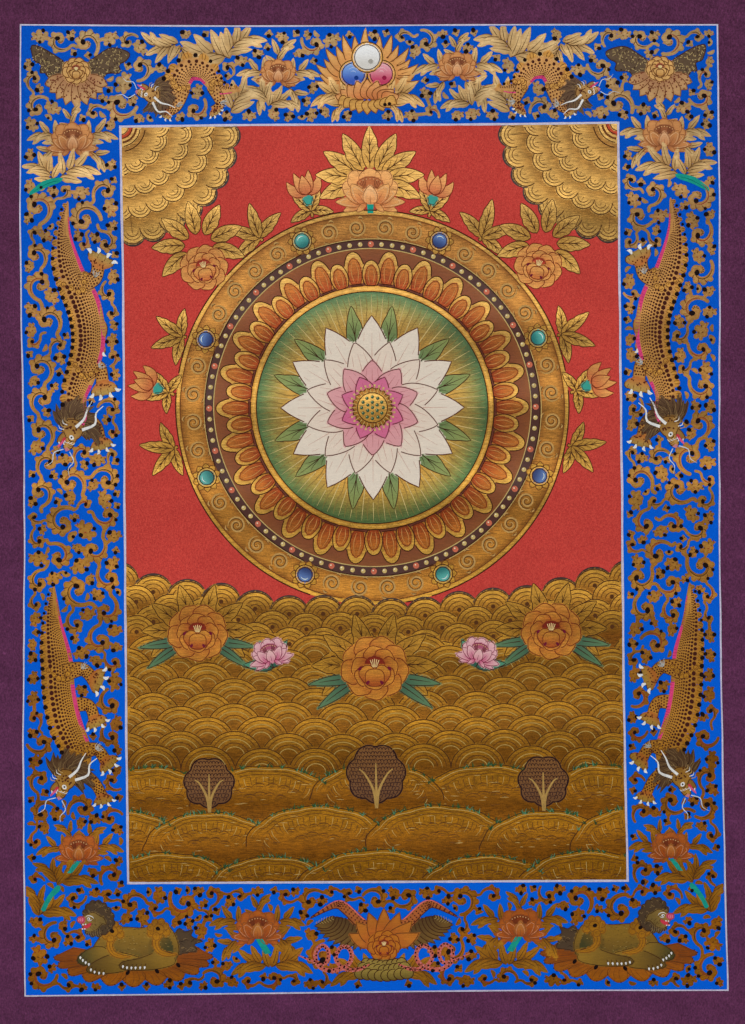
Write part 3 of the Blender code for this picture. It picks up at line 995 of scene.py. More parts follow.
def dragon_head(m, at, angle, s, rng, flip=1):
    """A small dragon head in profile, its own plain design: mane, horns, open jaw, whiskers. Angle 0 faces up."""
    def T(p):
        p = np.asarray(p, float) * (flip, 1) * s
        return turn(p, angle) + np.asarray(at, float)

    # mane
    for ring, (L0, L1, n) in enumerate(((13, 19, 30), (8, 13, 24))):
        for k in range(n):
            a = math.radians(78 + 204 * (k + 0.5) / n + rng.uniform(-4, 4))
            L = rng.uniform(L0, L1)
            c0 = (math.sin(a) * 3.5, 2 - math.cos(a) * 3.5)
            p = T(curve([c0, (math.sin(a) * L * 0.6 + rng.uniform(-1, 1), 2 - math.cos(a) * L * 0.6), (math.sin(a + 0.22) * L, 2 - math.cos(a + 0.22) * L)], 7))
            half = np.array([1.5, 2.3, 2.5, 2.2, 1.6, 0.9, 0.2])[:, None] * s
            m.shape(np.vstack([p + normals(p) * half, (p - normals(p) * half)[::-1]]), (0.100, 0.052, 0.022), 0.4, None, 0, hide=k % 4 == 0 or ring == 0)
            for j in (-0.5, 0.45):
                m.line(p + normals(p) * half * j, 0.6, (0.24, 0.15, 0.06) if (k + (j > 0)) % 3 else (0.02, 0.008, 0.005), 2, (0, 0.6))
    skin, lit = (0.34, 0.20, 0.055), (0.52, 0.34, 0.12)
    skull = T([(-5.0, 5), (-6.4, 1), (-6.2, -2.4), (-4.6, -4.8), (-4.4, -8.0), (-3.9, -11.4), (-2.4, -13.2), (-0.2, -13.6), (1.4, -12.4), (1.7, -10.2), (0.9, -8.6),
               (3.8, -7.0), (5.8, -4.0), (6.2, 0.4), (5.0, 4.6), (0, 6.5)])
    m.shape(skull, skin, 0.6, INK, 0.8, shaded=(T([(0, 5)])[0], T([(0, -12)])[0], lit))
    jaw = T([(1.8, -6.4), (3.2, -9.0), (4.6, -11.6), (6.2, -11.4), (6.6, -9.2), (6.0, -5.8), (4.6, -3.6)])
    m.shape(jaw, skin, 0.6, INK, 0.7)
    m.patch(T([(1.4, -8.2), (2.2, -10.8), (3.8, -9.2), (3.4, -7.0), (2.2, -6.4)]), (0.56, 0.03, 0.05), 3)
    m.patch(T([(2.2, -9.4), (3.0, -12.4), (4.2, -14.6), (4.6, -12.8), (3.8, -10.2), (3.0, -8.6)]), (0.70, 0.09, 0.22), 4)
    m.patch(T([(-3.4, -12.4), (-1.4, -14.3), (0.4, -13.0), (-0.8, -11.8)]), (0.60, 0.20, 0.22), 3)
    for q in ((1.5, -11.0, 2.0), (1.3, -9.4, 1.5), (4.9, -10.6, -1.9)):
        m.patch(T([(q[0] - 0.55, q[1]), (q[0] + 0.55, q[1]), (q[0] + (0.8 if q[2] > 0 else -0.8), q[1] + q[2])]), WHITE, 4)
    e = T([(-1.2, -5.0)])[0]
    m.dot(e[0], e[1], 1.35 * s, WHITE, 4, 9, 1.25, angle + 0.4)
    m.dot(e[0], e[1], 0.62 * s, NEAR_BLACK, 5, 7)
    m.line(T(curve([(-3.8, -6.2), (-1.2, -7.4), (1.4, -5.6)], 6)), 0.9, NEAR_BLACK, 4)
    for k in range(3):
        m.line(T(curve([(-4.4 + 1.7 * k, -6.9 - 0.4 * k), (-4.0 + 1.8 * k, -8.4 - 0.3 * k), (-2.7 + 1.8 * k, -8.9)], 5)), 0.75, WHITE, 4)
    for k in range(3):
        m.line(T(curve([(-4.0, -8.6 - 1.2 * k), (-2.6, -9.2 - 1.2 * k), (-1.0, -8.6 - 1.2 * k)], 5)), 0.55, (0.10, 0.02, 0.01), 3)
    for k in range(16):
        u, v = rng.uniform(-4.6, 4.6), rng.uniform(-2.8, 4.2)
        c = T([(u, v)])[0]
        m.dot(c[0], c[1], 0.62 * s, (0.09, 0.022, 0.010), 3, 6)
    for k in range(5):
        c = T([(-5.2 + 0.9 * k, -3.6 + 1.9 * k)])[0]
        m.line(T(curve([(5.6 - 0.5 * k, -4.0 + 1.7 * k), (8.2 - 0.4 * k, -4.6 + 1.9 * k), (9.6 - 0.5 * k, -3.0 + 2.0 * k)], 5)), 0.8, WHITE if k % 2 else (0.50, 0.30, 0.10), 4, (0, 0.5))
    # horns and whiskers
    for x0, k in ((-5.4, -1.0), (-1.2, -0.45)):
        p = T(curve([(x0, 2.0), (x0 + 6.0 * k, 8.5), (x0 + 3.0 * k - 1.0, 15.0), (x0 + 6.5 * k, 21.0)], 10))
        m.patch(np.vstack([p + normals(p) * np.linspace(0.95, 0.2, 10)[:, None] * s, (p - normals(p) * np.linspace(0.95, 0.2, 10)[:, None] * s)[::-1]]), WHITE, 4)
    for x0, k in ((-3.6, -1), (0.6, 1)):
        p = T(curve([(x0, -13.6), (x0 + 4.6 * k, -18.0), (x0 + 3.4 * k, -23.5), (x0 + 6.2 * k, -28.0)], 10))
        m.line(p, 0.62 * s, (0.60, 0.67, 0.76), 4, (0, 0.5))


def dragon(m, path, width, rng, legs, head_angle, back=-1, head_flip=1, head=1.0, belly=MAGENTA):
    """A serpent dragon: path from the tail to the neck, legs as (share, side, paths)."""
    for leg in [q for q in legs if q.get("behind")]:
        limb(m, leg["path"], leg.get("width", 5.5), rng, 4, 1.8, size=leg.get("size", 1.0), aim=leg.get("aim"))
    line = curve(path, 64)
    run = np.concatenate([[0], np.cumsum(np.hypot(*np.diff(line, axis=0).T))])
    gaps = []
    for leg in legs:
        if not leg.get("behind"):
            j = int(np.argmin(np.hypot(*(line - np.asarray(leg["path"][0], float)).T)))
            half = 1.15 * leg.get("width", 5.5) / run[-1]
            gaps.append((run[j] / run[-1] - half, run[j] / run[-1] + half))
    P, N, w, u = scaled_body(m, path, width, rng, back, belly, gaps=gaps)
    for leg in [q for q in legs if not q.get("behind")]:
        limb(m, leg["path"], leg.get("width", 5.5), rng, 4, 1.8, size=leg.get("size", 1.0), aim=leg.get("aim"))
        b = np.asarray(leg["path"][0], float)
        j = int(np.argmin(np.hypot(*(P - b).T)))
        for k in range(6):
            v = -0.92 + 1.84 * k / 5
            c = P[j] + N[j] * w[j] * v + (P[min(j + 3, 63)] - P[j]) * (0.6 - 1.1 * abs(v))
            r = 3.1 - 0.7 * abs(v)
            t = np.linspace(0, 2 * math.pi, 12, endpoint=False)
            m.shape(np.stack([np.cos(t), np.sin(t)], 1) * r + c, (0.50, 0.30, 0.075), 1.0, INK_SOFT, 0.7)
            q = np.linspace(0, 4.6, 9) + (0 if k % 2 else 3.1)
            m.line(np.stack([c[0] + np.cos(q) * np.linspace(r * 0.62, 0.3, 9), c[1] + np.sin(q) * np.linspace(r * 0.62, 0.3, 9)], 1), 0.6, INK_SOFT, 2)
        e = np.asarray(leg["path"][len(leg["path"]) // 2], float)
        tuft(m, e, leg.get("tuft", 0.0), 8.5, 11, rng)
    dragon_head(m, P[-1], head_angle, head, rng, head_flip)
# ---------------------------------------------------------------- the border

LEAF_TOP = (0.445, 0.350, 0.162)
# Paler gold for one leaf spray at the upper left only: painted sheen, the glint of light on the metal there.
LEAF_PAINTED_SHEEN = (0.590, 0.450, 0.205)
LEAF_FOOT = (0.385, 0.203, 0.030)
LOTUS_FOOT = (0.365, 0.080, 0.012)


def leaf_tone(y):
    t = float(np.clip((y - 120) / 260, 0, 1))
    return mix(LEAF_TOP, LEAF_FOOT, t)


def lotus_tone(y):
    t = float(np.clip((y - 150) / 600, 0, 1))
    return mix(LOTUS_LIGHT, (0.500, 0.152, 0.028), t), mix(LOTUS, LOTUS_FOOT, t)


def lotus_group(field, ink, x, y, size, rng, angle=0.0, sprays=(), mirror=False, stem=None):
    """A lotus with tufts of leaves behind it: sprays as (dx, dy, angle in degrees, length, leaves, spread, lean)."""
    m = Motif()
    colour = leaf_tone(y)
    for dx, dy, a, length, n, spread, lean in sprays:
        spray(m, (dx, dy), math.radians(a), length, n, spread, 0.155, lean, colour, rng)
    if stem is not None:
        m.patch(np.array(stem), TEAL, 1)
        s = np.array(stem)
        m.line([s[0], s[-1]], 0.5, (0.0, 0.10, 0.07), 2, None)
    light, dark = lotus_tone(y)
    lotus(m, size, light, dark)
    m.stamp(field, ink, x, y, 1.0, angle, mirror)


def lion(m, rng):
    """A resting lion on a bed of leaves, own plain design, facing left; about 165 wide, the ground line at y = 0."""
    mat, mat_light = (0.265, 0.082, 0.008), (0.450, 0.180, 0.019)
    # the bed: one lobed leaf mat
    lobes = 11
    t = np.linspace(0, 1, lobes * 7 + 1)
    a = math.pi * (1.04 - 1.08 * t)
    bump = np.abs(np.sin(math.pi * lobes * t))
    rx, ry = 92 + 7.0 * bump, 29 + 9.0 * bump
    rim = np.stack([2 + rx * np.cos(a), -10 + ry * np.sin(a)], 1)
    m.shape(np.vstack([rim, [(76, -24), (30, -16), (-30, -14), (-72, -22)]]), mat_light, 0.8, INK_SOFT, 0.6, shaded=((0, 22), (0, -8), mat))
    for k in range(lobes):
        i0, i1 = k * 7, k * 7 + 7
        c = rim[i0 + 3]
        for j in (i0 + 1, i0 + 3, i0 + 5):
            e = rim[j] * 0.93 + np.array([2, -10]) * 0.07
            m.dot(rim[j][0], rim[j][1] - 0.4, 0.75, NEAR_BLACK, 3, 6)
            q = np.array([2 + (e[0] - 2) * 0.60, -10 + (e[1] + 10) * 0.52])
            m.line(curve([q, (q + e) / 2 + (2.2 * (1 if j > i0 + 2 else -1), 0), e], 6), 0.5, INK_SOFT, 2, (0.6, 0.2))
        if 0 < k < lobes:
            e = rim[i0]
            q = np.array([2 + (e[0] - 2) * 0.66, -10 + (e[1] + 10) * 0.58])
            m.line(curve([e, (e + q) / 2 + (3.0, 0), q], 6), 0.7, (0.11, 0.030, 0.008), 2, (0, 0.7))
            if k % 2:
                m.dot(q[0] + 2, q[1] + 3.2, 2.3, NEAR_BLACK, 3, 9, 1.5, 0.9 if q[0] > 0 else -0.9)
    body, light, green = (0.128, 0.082, 0.012), (0.320, 0.208, 0.028), (0.055, 0.060, 0.018)
    # tail: a bushy tuft of short curls
    blob = curve([(50, -34), (58, -44), (66, -40), (76, -42), (74, -34), (88, -28), (78, -24), (80, -16), (66, -14), (56, -12), (50, -22), (50, -34)], 40)[:-1]
    m.shape(blob, (0.075, 0.044, 0.020), 0.3, INK, 0.6)
    for k in range(26):
        c = rng.uniform((52, -42), (84, -14))
        if inside(c, blob)[0]:
            m.line(curve([c, c + (3.0, -1.6), c + (6.0, 0.4)], 5), 0.5, (0.26, 0.165, 0.070) if k % 2 else (0.02, 0.010, 0.006), 2, (0, 0.5))
    # trunk
    trunk = curve([(-52, -8), (-48, -22), (-40, -34), (-30, -45), (-8, -46), (14, -45), (30, -50), (46, -46), (55, -32), (58, -14), (48, -2), (10, 4), (-30, 4), (-46, 2), (-52, -8)], 56)[:-1]
    m.shape(trunk, light, 0.5, INK, 0.7, shaded=((0, -46), (0, 2), body))
    m.shape(curve([(20, -12), (22, -28), (32, -36), (44, -34), (50, -20), (46, -8), (34, -4), (20, -12)], 30)[:-1], mix(body, light, 0.35), 0.5, None, 0, shaded=((24, -30), (42, -12), green))
    m.shape(curve([(-34, -14), (-22, -26), (-4, -24), (10, -14), (2, -4), (-20, -4), (-34, -14)], 30)[:-1], mix(body, light, 0.55), 0.5, None, 0, shaded=((-6, -24), (-10, -4), green))
    for k in range(170):
        c = rng.uniform((-46, -46), (54, 0))
        if inside(c, trunk)[0]:
            e = c + (rng.uniform(1.4, 2.6), rng.uniform(-0.5, 0.9))
            m.line([c, (c + e) / 2, e], 0.42, (0.080, 0.045, 0.010) if k % 3 else (0.42, 0.28, 0.07), 2, (0, 0.5))
    # fore legs, lying forward, and the hind foot
    for pts, shade, claws in (([(-36, -22), (-48, -22), (-58, -17), (-66, -10), (-67, -4), (-60, 0), (-44, 0), (-26, -4), (-20, -12), (-36, -22)], green, [(-63.5, -9.6), (-60.5, -6.4), (-57, -3.6), (-53, -1.4)]),
                              ([(-16, -16), (-34, -10), (-48, -3), (-56, 4), (-54, 9), (-40, 11), (-16, 9), (6, 2), (10, -8), (-16, -16)], body, [(-50.5, 5.2), (-46, 8.0), (-40.5, 9.4), (-35, 9.8)]),
                              ([(50, -14), (34, -16), (10, -8), (-10, -4), (-16, 1), (-10, 6), (14, 7), (40, 4), (54, -2), (50, -14)], body, [(-11, 1.6), (-6, 3.0), (-0.6, 3.4), (4.6, 3.4), (10.4, 3.2), (16, 3.0)])):
        leg = curve(pts, 40)[:-1]
        m.shape(leg, light, 0.5, INK, 0.7, shaded=(leg.max(0) * (1, 0) + (0, -12), leg.min(0) * (1, 0), shade))
        for x, y in claws:
            m.patch(petal_outline((x, y - 1.2), math.radians(188), 4.0, 1.25, 0.6, 0.0, 6), WHITE, 4)
            m.line(curve([(x + 1.6, y - 4.2), (x + 0.6, y - 2.6), (x + 1.0, y - 1.0)], 4), 0.5, INK, 3, None)
    # gold curls on shoulder and hip, each a lobed crest on a curved stem
    for cx, cy, k0 in ((-24, -28, 1.0), (33, -30, 1.05)):
        stem = curve([(cx, cy - 6), (cx - 4 * k0, cy + 4), (cx + 1, cy + 14), (cx + 12 * k0, cy + 18), (cx + 22 * k0, cy + 18)], 20)
        w = np.interp(np.linspace(0, 1, 20), [0, 0.3, 0.7, 1], [4.2, 3.4, 2.4, 0.4])[:, None] * k0
        N = normals(stem)
        m.shape(np.vstack([stem + N * w, (stem - N * w)[::-1]]), (0.42, 0.235, 0.050), 1.0, INK_SOFT, 0.6)
        m.line(stem[2:-4], 0.5, INK_SOFT, 2, (0.2, 0.6))
        for i, (ox, oy, q) in enumerate(((-9, -8, 4.6), (-9, -15, 4.6), (9, -9, 4.8), (8, -16, 4.4), (-4, -20, 4.6), (3, -21, 4.4), (0, -12, 6.4), (-3, -4, 4.4))):
            t2 = np.linspace(0, 2 * math.pi, 14, endpoint=False)
            m.shape(np.stack([np.cos(t2) * q * k0, np.sin(t2) * q * k0], 1) + (cx + ox * k0, cy + oy * k0), (0.42, 0.235, 0.050), 1.0, INK_SOFT, 0.5)
            v = np.linspace(0, 3.6, 7) + 1.4 * i
            m.line(np.stack([cx + ox * k0 + np.cos(v) * np.linspace(q * 0.62, 0.4, 7), cy + oy * k0 + np.sin(v) * np.linspace(q * 0.62, 0.4, 7)], 1), 0.45, INK_SOFT, 2)
        m.dot(cx - 1, cy - 13 * k0, 2.4, NEAR_BLACK, 3, 9, 1.25, 0.5)
    # head: a dark mass of short curls round a small face in profile
    hx, hy = -50, -52
    n = 60
    t = np.linspace(0, 2 * math.pi, n, endpoint=False)
    rr = 1 + 0.10 * np.abs(np.sin(7.5 * t)) + 0.05 * np.sin(3 * t + 1)
    mane = np.stack([hx + 7 + 19 * np.cos(t) * rr, hy - 4 + 21 * np.sin(t) * rr], 1)
    m.shape(mane, (0.072, 0.042, 0.019), 0.3, INK, 0.6)
    for k in range(80):
        c = rng.uniform((hx - 14, hy - 26), (hx + 28, hy + 20))
        if inside(c, mane)[0]:
            v = np.linspace(0, 3.8, 6) + rng.uniform(0, 6.28)
            r = rng.uniform(1.2, 2.4)
            m.line(np.stack([c[0] + np.cos(v) * np.linspace(r, 0.5, 6), c[1] + np.sin(v) * np.linspace(r, 0.5, 6)], 1), 0.5, (0.25, 0.160, 0.066) if k % 3 else (0.018, 0.010, 0.006), 2, (0, 0.4))
    face = curve([(hx + 11, hy - 7), (hx + 2, hy - 12), (hx - 7, hy - 9), (hx - 12, hy - 5.5), (hx - 14.5, hy - 1), (hx - 13, hy + 3.0), (hx - 8, hy + 4.5), (hx - 9.5, hy + 9), (hx - 3, hy + 12), (hx + 6, hy + 9),
                  (hx + 13, hy + 2), (hx + 18, hy + 3), (hx + 15, hy - 5), (hx + 11, hy - 7)], 36)[:-1]
    m.shape(face, (0.200, 0.140, 0.040), 0.4, INK, 0.7, shaded=((hx + 12, hy + 4), (hx - 13, hy - 4), (0.340, 0.235, 0.070)))
    tt = np.linspace(0, 2 * math.pi, 16, endpoint=False)
    m.shape(np.stack([hx - 13.6 + 4.6 * np.cos(tt), hy - 3.0 + 4.2 * np.sin(tt)], 1), (0.62, 0.075, 0.150), 0.0, (0.30, 0.02, 0.05), 0.5)
    for k in range(3):
        m.line(curve([(hx - 16 + 2.3 * k, hy - 4.8), (hx - 15.6 + 2.3 * k, hy - 3.0), (hx - 16.2 + 2.3 * k, hy - 1.2)], 4), 0.5, (0.85, 0.35, 0.42), 3, None)
    m.patch(curve([(hx - 13, hy + 3.4), (hx - 7, hy + 2.8), (hx - 0.5, hy + 0.6), (hx - 1.6, hy + 5.0), (hx - 8.0, hy + 8.4), (hx - 13.5, hy + 7.6), (hx - 9, hy + 5.4), (hx - 13, hy + 3.4)], 18)[:-1], (0.60, 0.035, 0.060), 3)
    for dx, dy in ((-10.6, 3.0), (-7.6, 2.6), (-11.4, 8.2), (-8.4, 8.2)):
        m.dot(hx + dx, hy + dy, 0.95, WHITE, 4, 7)
    m.dot(hx - 3.8, hy - 4.2, 1.7, WHITE, 4, 10, 1.2, 0.2)
    m.dot(hx - 4.2, hy - 4.1, 0.85, NEAR_BLACK, 5, 8)
    m.line(curve([(hx - 8, hy - 6.0), (hx - 4.6, hy - 8.0), (hx + 0.6, hy - 6.8), (hx + 2.6, hy - 3.8)], 8), 0.9, WHITE, 4)
    m.line(curve([(hx - 5.6, hy - 2.2), (hx - 2.4, hy - 1.6), (hx + 0.6, hy - 3.2)], 6), 0.8, WHITE, 4)
    for k in range(14):
        c = (hx + rng.uniform(-4, 10), hy + rng.uniform(-6, 8))
        m.line(curve([c, (c[0] + 1.8, c[1] + 0.6), (c[0] + 2.4, c[1] + 2.4)], 4), 0.5, (0.09, 0.05, 0.015), 3)
    for k in range(7):
        m.line(curve([(hx - 6 + 2.6 * k, hy + 12 - 0.9 * k), (hx - 7 + 2.9 * k, hy + 15), (hx - 5 + 3.0 * k, hy + 18)], 6), 0.6, (0.27, 0.175, 0.070), 3)


def jewels(m, rng):
    """Three round jewels over a lotus, with flames behind: about 100 wide and 92 tall, centred."""
    flame = (0.50, 0.200, 0.045)
    flame_light = (0.66, 0.42, 0.14)
    for k in range(17):
        u = (k - 8) / 8
        a = u * 1.45
        L = 46 - 14 * abs(u)
        c = (20 * math.sin(a), 4 - 8 * math.cos(a))
        m.shape(petal_outline(c, a, L * (0.86 if k % 2 else 1.0), 5.6, 0.62, 5.0 * (1 if u > 0 else -1) * (0.4 + abs(u))), flame, 0.6, INK_SOFT, 0.8,
                shaded=(c, (c[0] + L * math.sin(a), c[1] - L * math.cos(a)), flame_light))
        p0 = np.array(c) + turn([(0, -8.0)], a)[0]
        p1 = np.array(c) + turn([(1.5 * u, -L * 0.66)], a)[0]
        m.line([p0, (p0 + p1) / 2 + (0.6, 0), p1], 0.7, INK_SOFT, 2)
    for sx in (-1, 1):
        spray(m, (sx * 20, 22), sx * math.radians(78), 40, 5, 1.3, 0.16, 0.08 * sx, (0.58, 0.40, 0.14), rng)
        spray(m, (sx * 16, 26), sx * math.radians(112), 30, 3, 0.9, 0.18, 0.05 * sx, (0.58, 0.40, 0.14), rng)
    rows = ((-14, -2, 14.0, (0.012, 0.070, 0.420), (0.16, 0.34, 0.72)), (14, -2, 14.0, (0.52, 0.020, 0.090), (0.80, 0.32, 0.36)),
            (0, -19, 15.5, (0.66, 0.62, 0.55), (0.86, 0.85, 0.82)))
    for x, y, r, dark, light in rows:
        t = np.linspace(0, 2 * math.pi, 26, endpoint=False)
        circ = np.stack([np.cos(t), np.sin(t)], 1)
        m.shape(circ * r + (x, y), (0.52, 0.33, 0.09), 1.0, INK, 0.9)
        m.shape(circ * (r - 2.8) + (x, y), dark, 0.0, INK, 0.8, shaded=((x, y + r * 0.6), (x, y - r * 0.7), light))
        for q in (0.70, 0.46, 0.22):
            a = np.linspace(-2.5, -0.5, 9)
            m.line(np.stack([x + q * r * np.cos(a), y + q * r * np.sin(a)], 1), 0.8, mix(light, (1, 1, 1), 0.3), 2)
        m.dot(x + r * 0.22, y + r * 0.28, r * 0.16, mix(dark, (0, 0, 0), 0.4), 3, 10)
    for i in range(9):
        u = (i - 4) / 4
        a = u * 1.35
        c = (14 * u, 24 - 2 * u * u)
        m.shape(petal_outline(c, a, 21 - 3 * abs(u), 7.2, 0.66, 2.0 * u), (0.50, 0.18, 0.05), 0.6, INK_SOFT, 0.8,
                shaded=(c, (c[0] + 20 * math.sin(a), c[1] - 20 * math.cos(a)), (0.66, 0.36, 0.13)))
        m.line([np.array(c) + turn([(0, -5.0)], a)[0], np.array(c) + turn([(0, -14.0)], a)[0]], 0.6, INK_SOFT, 2)
    for i in range(9):
        u = (i - 4) / 4
        a = math.pi - u * 1.1
        c = (18 * u, 24)
        m.shape(petal_outline(c, a, 15 - 3 * abs(u), 5.6, 0.66, -1.5 * u), (0.50, 0.31, 0.08), 0.9, INK_SOFT, 0.8)
        m.dot(c[0] + 4.2, 31 - 3 * abs(u), 1.9, NEAR_BLACK, 3, 8)


def knot_serpent(m, sx):
    """A thin spotted serpent in two loops."""
    path = curve([(sx * 14, 8), (sx * 26, 13), (sx * 40, 12), (sx * 48, 2), (sx * 44, -8), (sx * 36, -9), (sx * 32, 0), (sx * 38, 10), (sx * 54, 14), (sx * 66, 8),
                  (sx * 68, -4), (sx * 61, -11), (sx * 55, -4), (sx * 59, 7), (sx * 72, 4), (sx * 86, -2)], 90)
    w = np.interp(np.linspace(0, 1, 90), [0, 0.06, 0.5, 0.9, 1], [0.6, 2.0, 2.3, 1.8, 0.4])
    P, N = path, normals(path)
    for i in range(0, 89):
        q = np.vstack([P[i:i + 2] + N[i:i + 2] * w[i:i + 2, None], (P[i:i + 2] - N[i:i + 2] * w[i:i + 2, None])[::-1]])
        m.patch(q, (0.58, 0.12, 0.085), 1)
    for i in range(2, 88, 2):
        m.dot(P[i, 0] + N[i, 0] * w[i] * 0.4, P[i, 1] + N[i, 1] * w[i] * 0.4, 0.95, NEAR_BLACK, 3, 6)
        m.line([P[i] - N[i] * w[i], P[i] - N[i] * w[i] * 0.3], 0.5, (0.72, 0.30, 0.30), 2, None)


def wings(m, rng):
    """A winged lotus: two feathered wings over an open flower and a ring of leaves, about 150 wide."""
    for sx in (-1, 1):
        for k in range(11):
            u = k / 10
            base = (sx * (14 + 34 * u), -14 - 13 * u + 6 * u * u)
            a = sx * math.radians(168 - 62 * u)
            L = 26 + 8 * math.sin(math.pi * u) - 3 * u
            m.shape(petal_outline(base, a, L, 4.8, 0.75, sx * 3.0), (0.105, 0.060, 0.020), 0.5, INK, 0.7,
                    shaded=(base, (base[0] + L * math.sin(a), base[1] - L * math.cos(a)), (0.20, 0.125, 0.035)))
            for j in np.linspace(0.2, 0.9, 7):
                c = np.array(base) + turn([(0, -L * j)], a)[0]
                for q in (-1, 1):
                    e = c + turn([(q * 3.2 * math.sin(math.pi * j), 1.8)], a)[0]
                    m.line([c, e], 0.6, (0.36, 0.24, 0.08), 2, None)
        arm = curve([(sx * 8, -6), (sx * 24, -16), (sx * 40, -31), (sx * 50, -33), (sx * 74, -20)], 24)
        w = np.interp(np.linspace(0, 1, 24), [0, 0.5, 0.75, 1], [5.2, 5.0, 3.4, 0.4])
        N = normals(arm)
        m.shape(np.vstack([arm + N * w[:, None], (arm - N * w[:, None])[::-1]]), (0.48, 0.155, 0.06), 0.5, INK, 0.8)
        for i in range(1, 23):
            for v in (-0.5, 0.05, 0.55):
                c = arm[i] + N[i] * w[i] * (v + (0.2 if i % 2 else 0))
                m.dot(c[0], c[1], 0.85, (0.10, 0.02, 0.012), 3, 6)
        q = arm - N * w[:, None] * 0.9 * sx
        m.line(q[:22], 1.3, (0.72, 0.16, 0.16), 3)
    for sx in (-1, 1):
        spray(m, (sx * 12, 36), sx * math.radians(80), 44, 5, 1.0, 0.16, 0.04 * sx, leaf_tone(930), rng)
        m.patch(curve([(sx * 20, 35), (sx * 27, 31), (sx * 35, 31), (sx * 28, 36), (sx * 20, 35)], 8)[:-1], TEAL, 2)
    for k in range(7):
        u = (k - 3) / 3
        a = u * 1.2
        m.shape(petal_outline((7 * u, 4), a, 34 - 5 * abs(u), 8.0, 0.62, 3 * u), (0.47, 0.115, 0.025), 0.6, INK_SOFT, 0.8,
                shaded=((0, 4), (26 * math.sin(a), -26 * math.cos(a)), (0.57, 0.23, 0.05)))
        m.line([(7 * u + 4 * math.sin(a), 0), (7 * u + 22 * math.sin(a), 4 - 22 * math.cos(a))], 0.7, INK_SOFT, 2)
    m2 = Motif()
    peony(m2, 17, (0.56, 0.25, 0.06), (0.46, 0.13, 0.03), (0.20, 0.035, 0.01))
    for s in m2.shapes:
        poly, colour, metal, soft, shaded = s
        sh = None if shaded is None else (np.asarray(shaded[0]) + (0, 8), np.asarray(shaded[1]) + (0, 8), shaded[2])
        m.shape(poly + (0, 8), colour, metal, None, 0, shaded=sh)
    for kind, p, w, colour, height in m2.marks:
        m.marks.append((kind, p + (0, 8), w, colour, height))
    for row, (y, n, r) in enumerate(((27, 8, 5.2), (32, 9, 6.0), (38, 8, 6.6))):
        for k in range(n):
            u = (k - (n - 1) / 2) / (n / 2)
            t = np.linspace(0, 2 * math.pi, 14, endpoint=False)
            c = (u * (20 + 3 * row), y - 3 * abs(u))
            m.shape(np.stack([np.cos(t) * r, np.sin(t) * r * 0.9], 1) + c, (0.20, 0.165, 0.045), 0.5, INK, 0.8,
                    shaded=((c[0], c[1] + r), (c[0], c[1] - r), (0.36, 0.30, 0.10)))


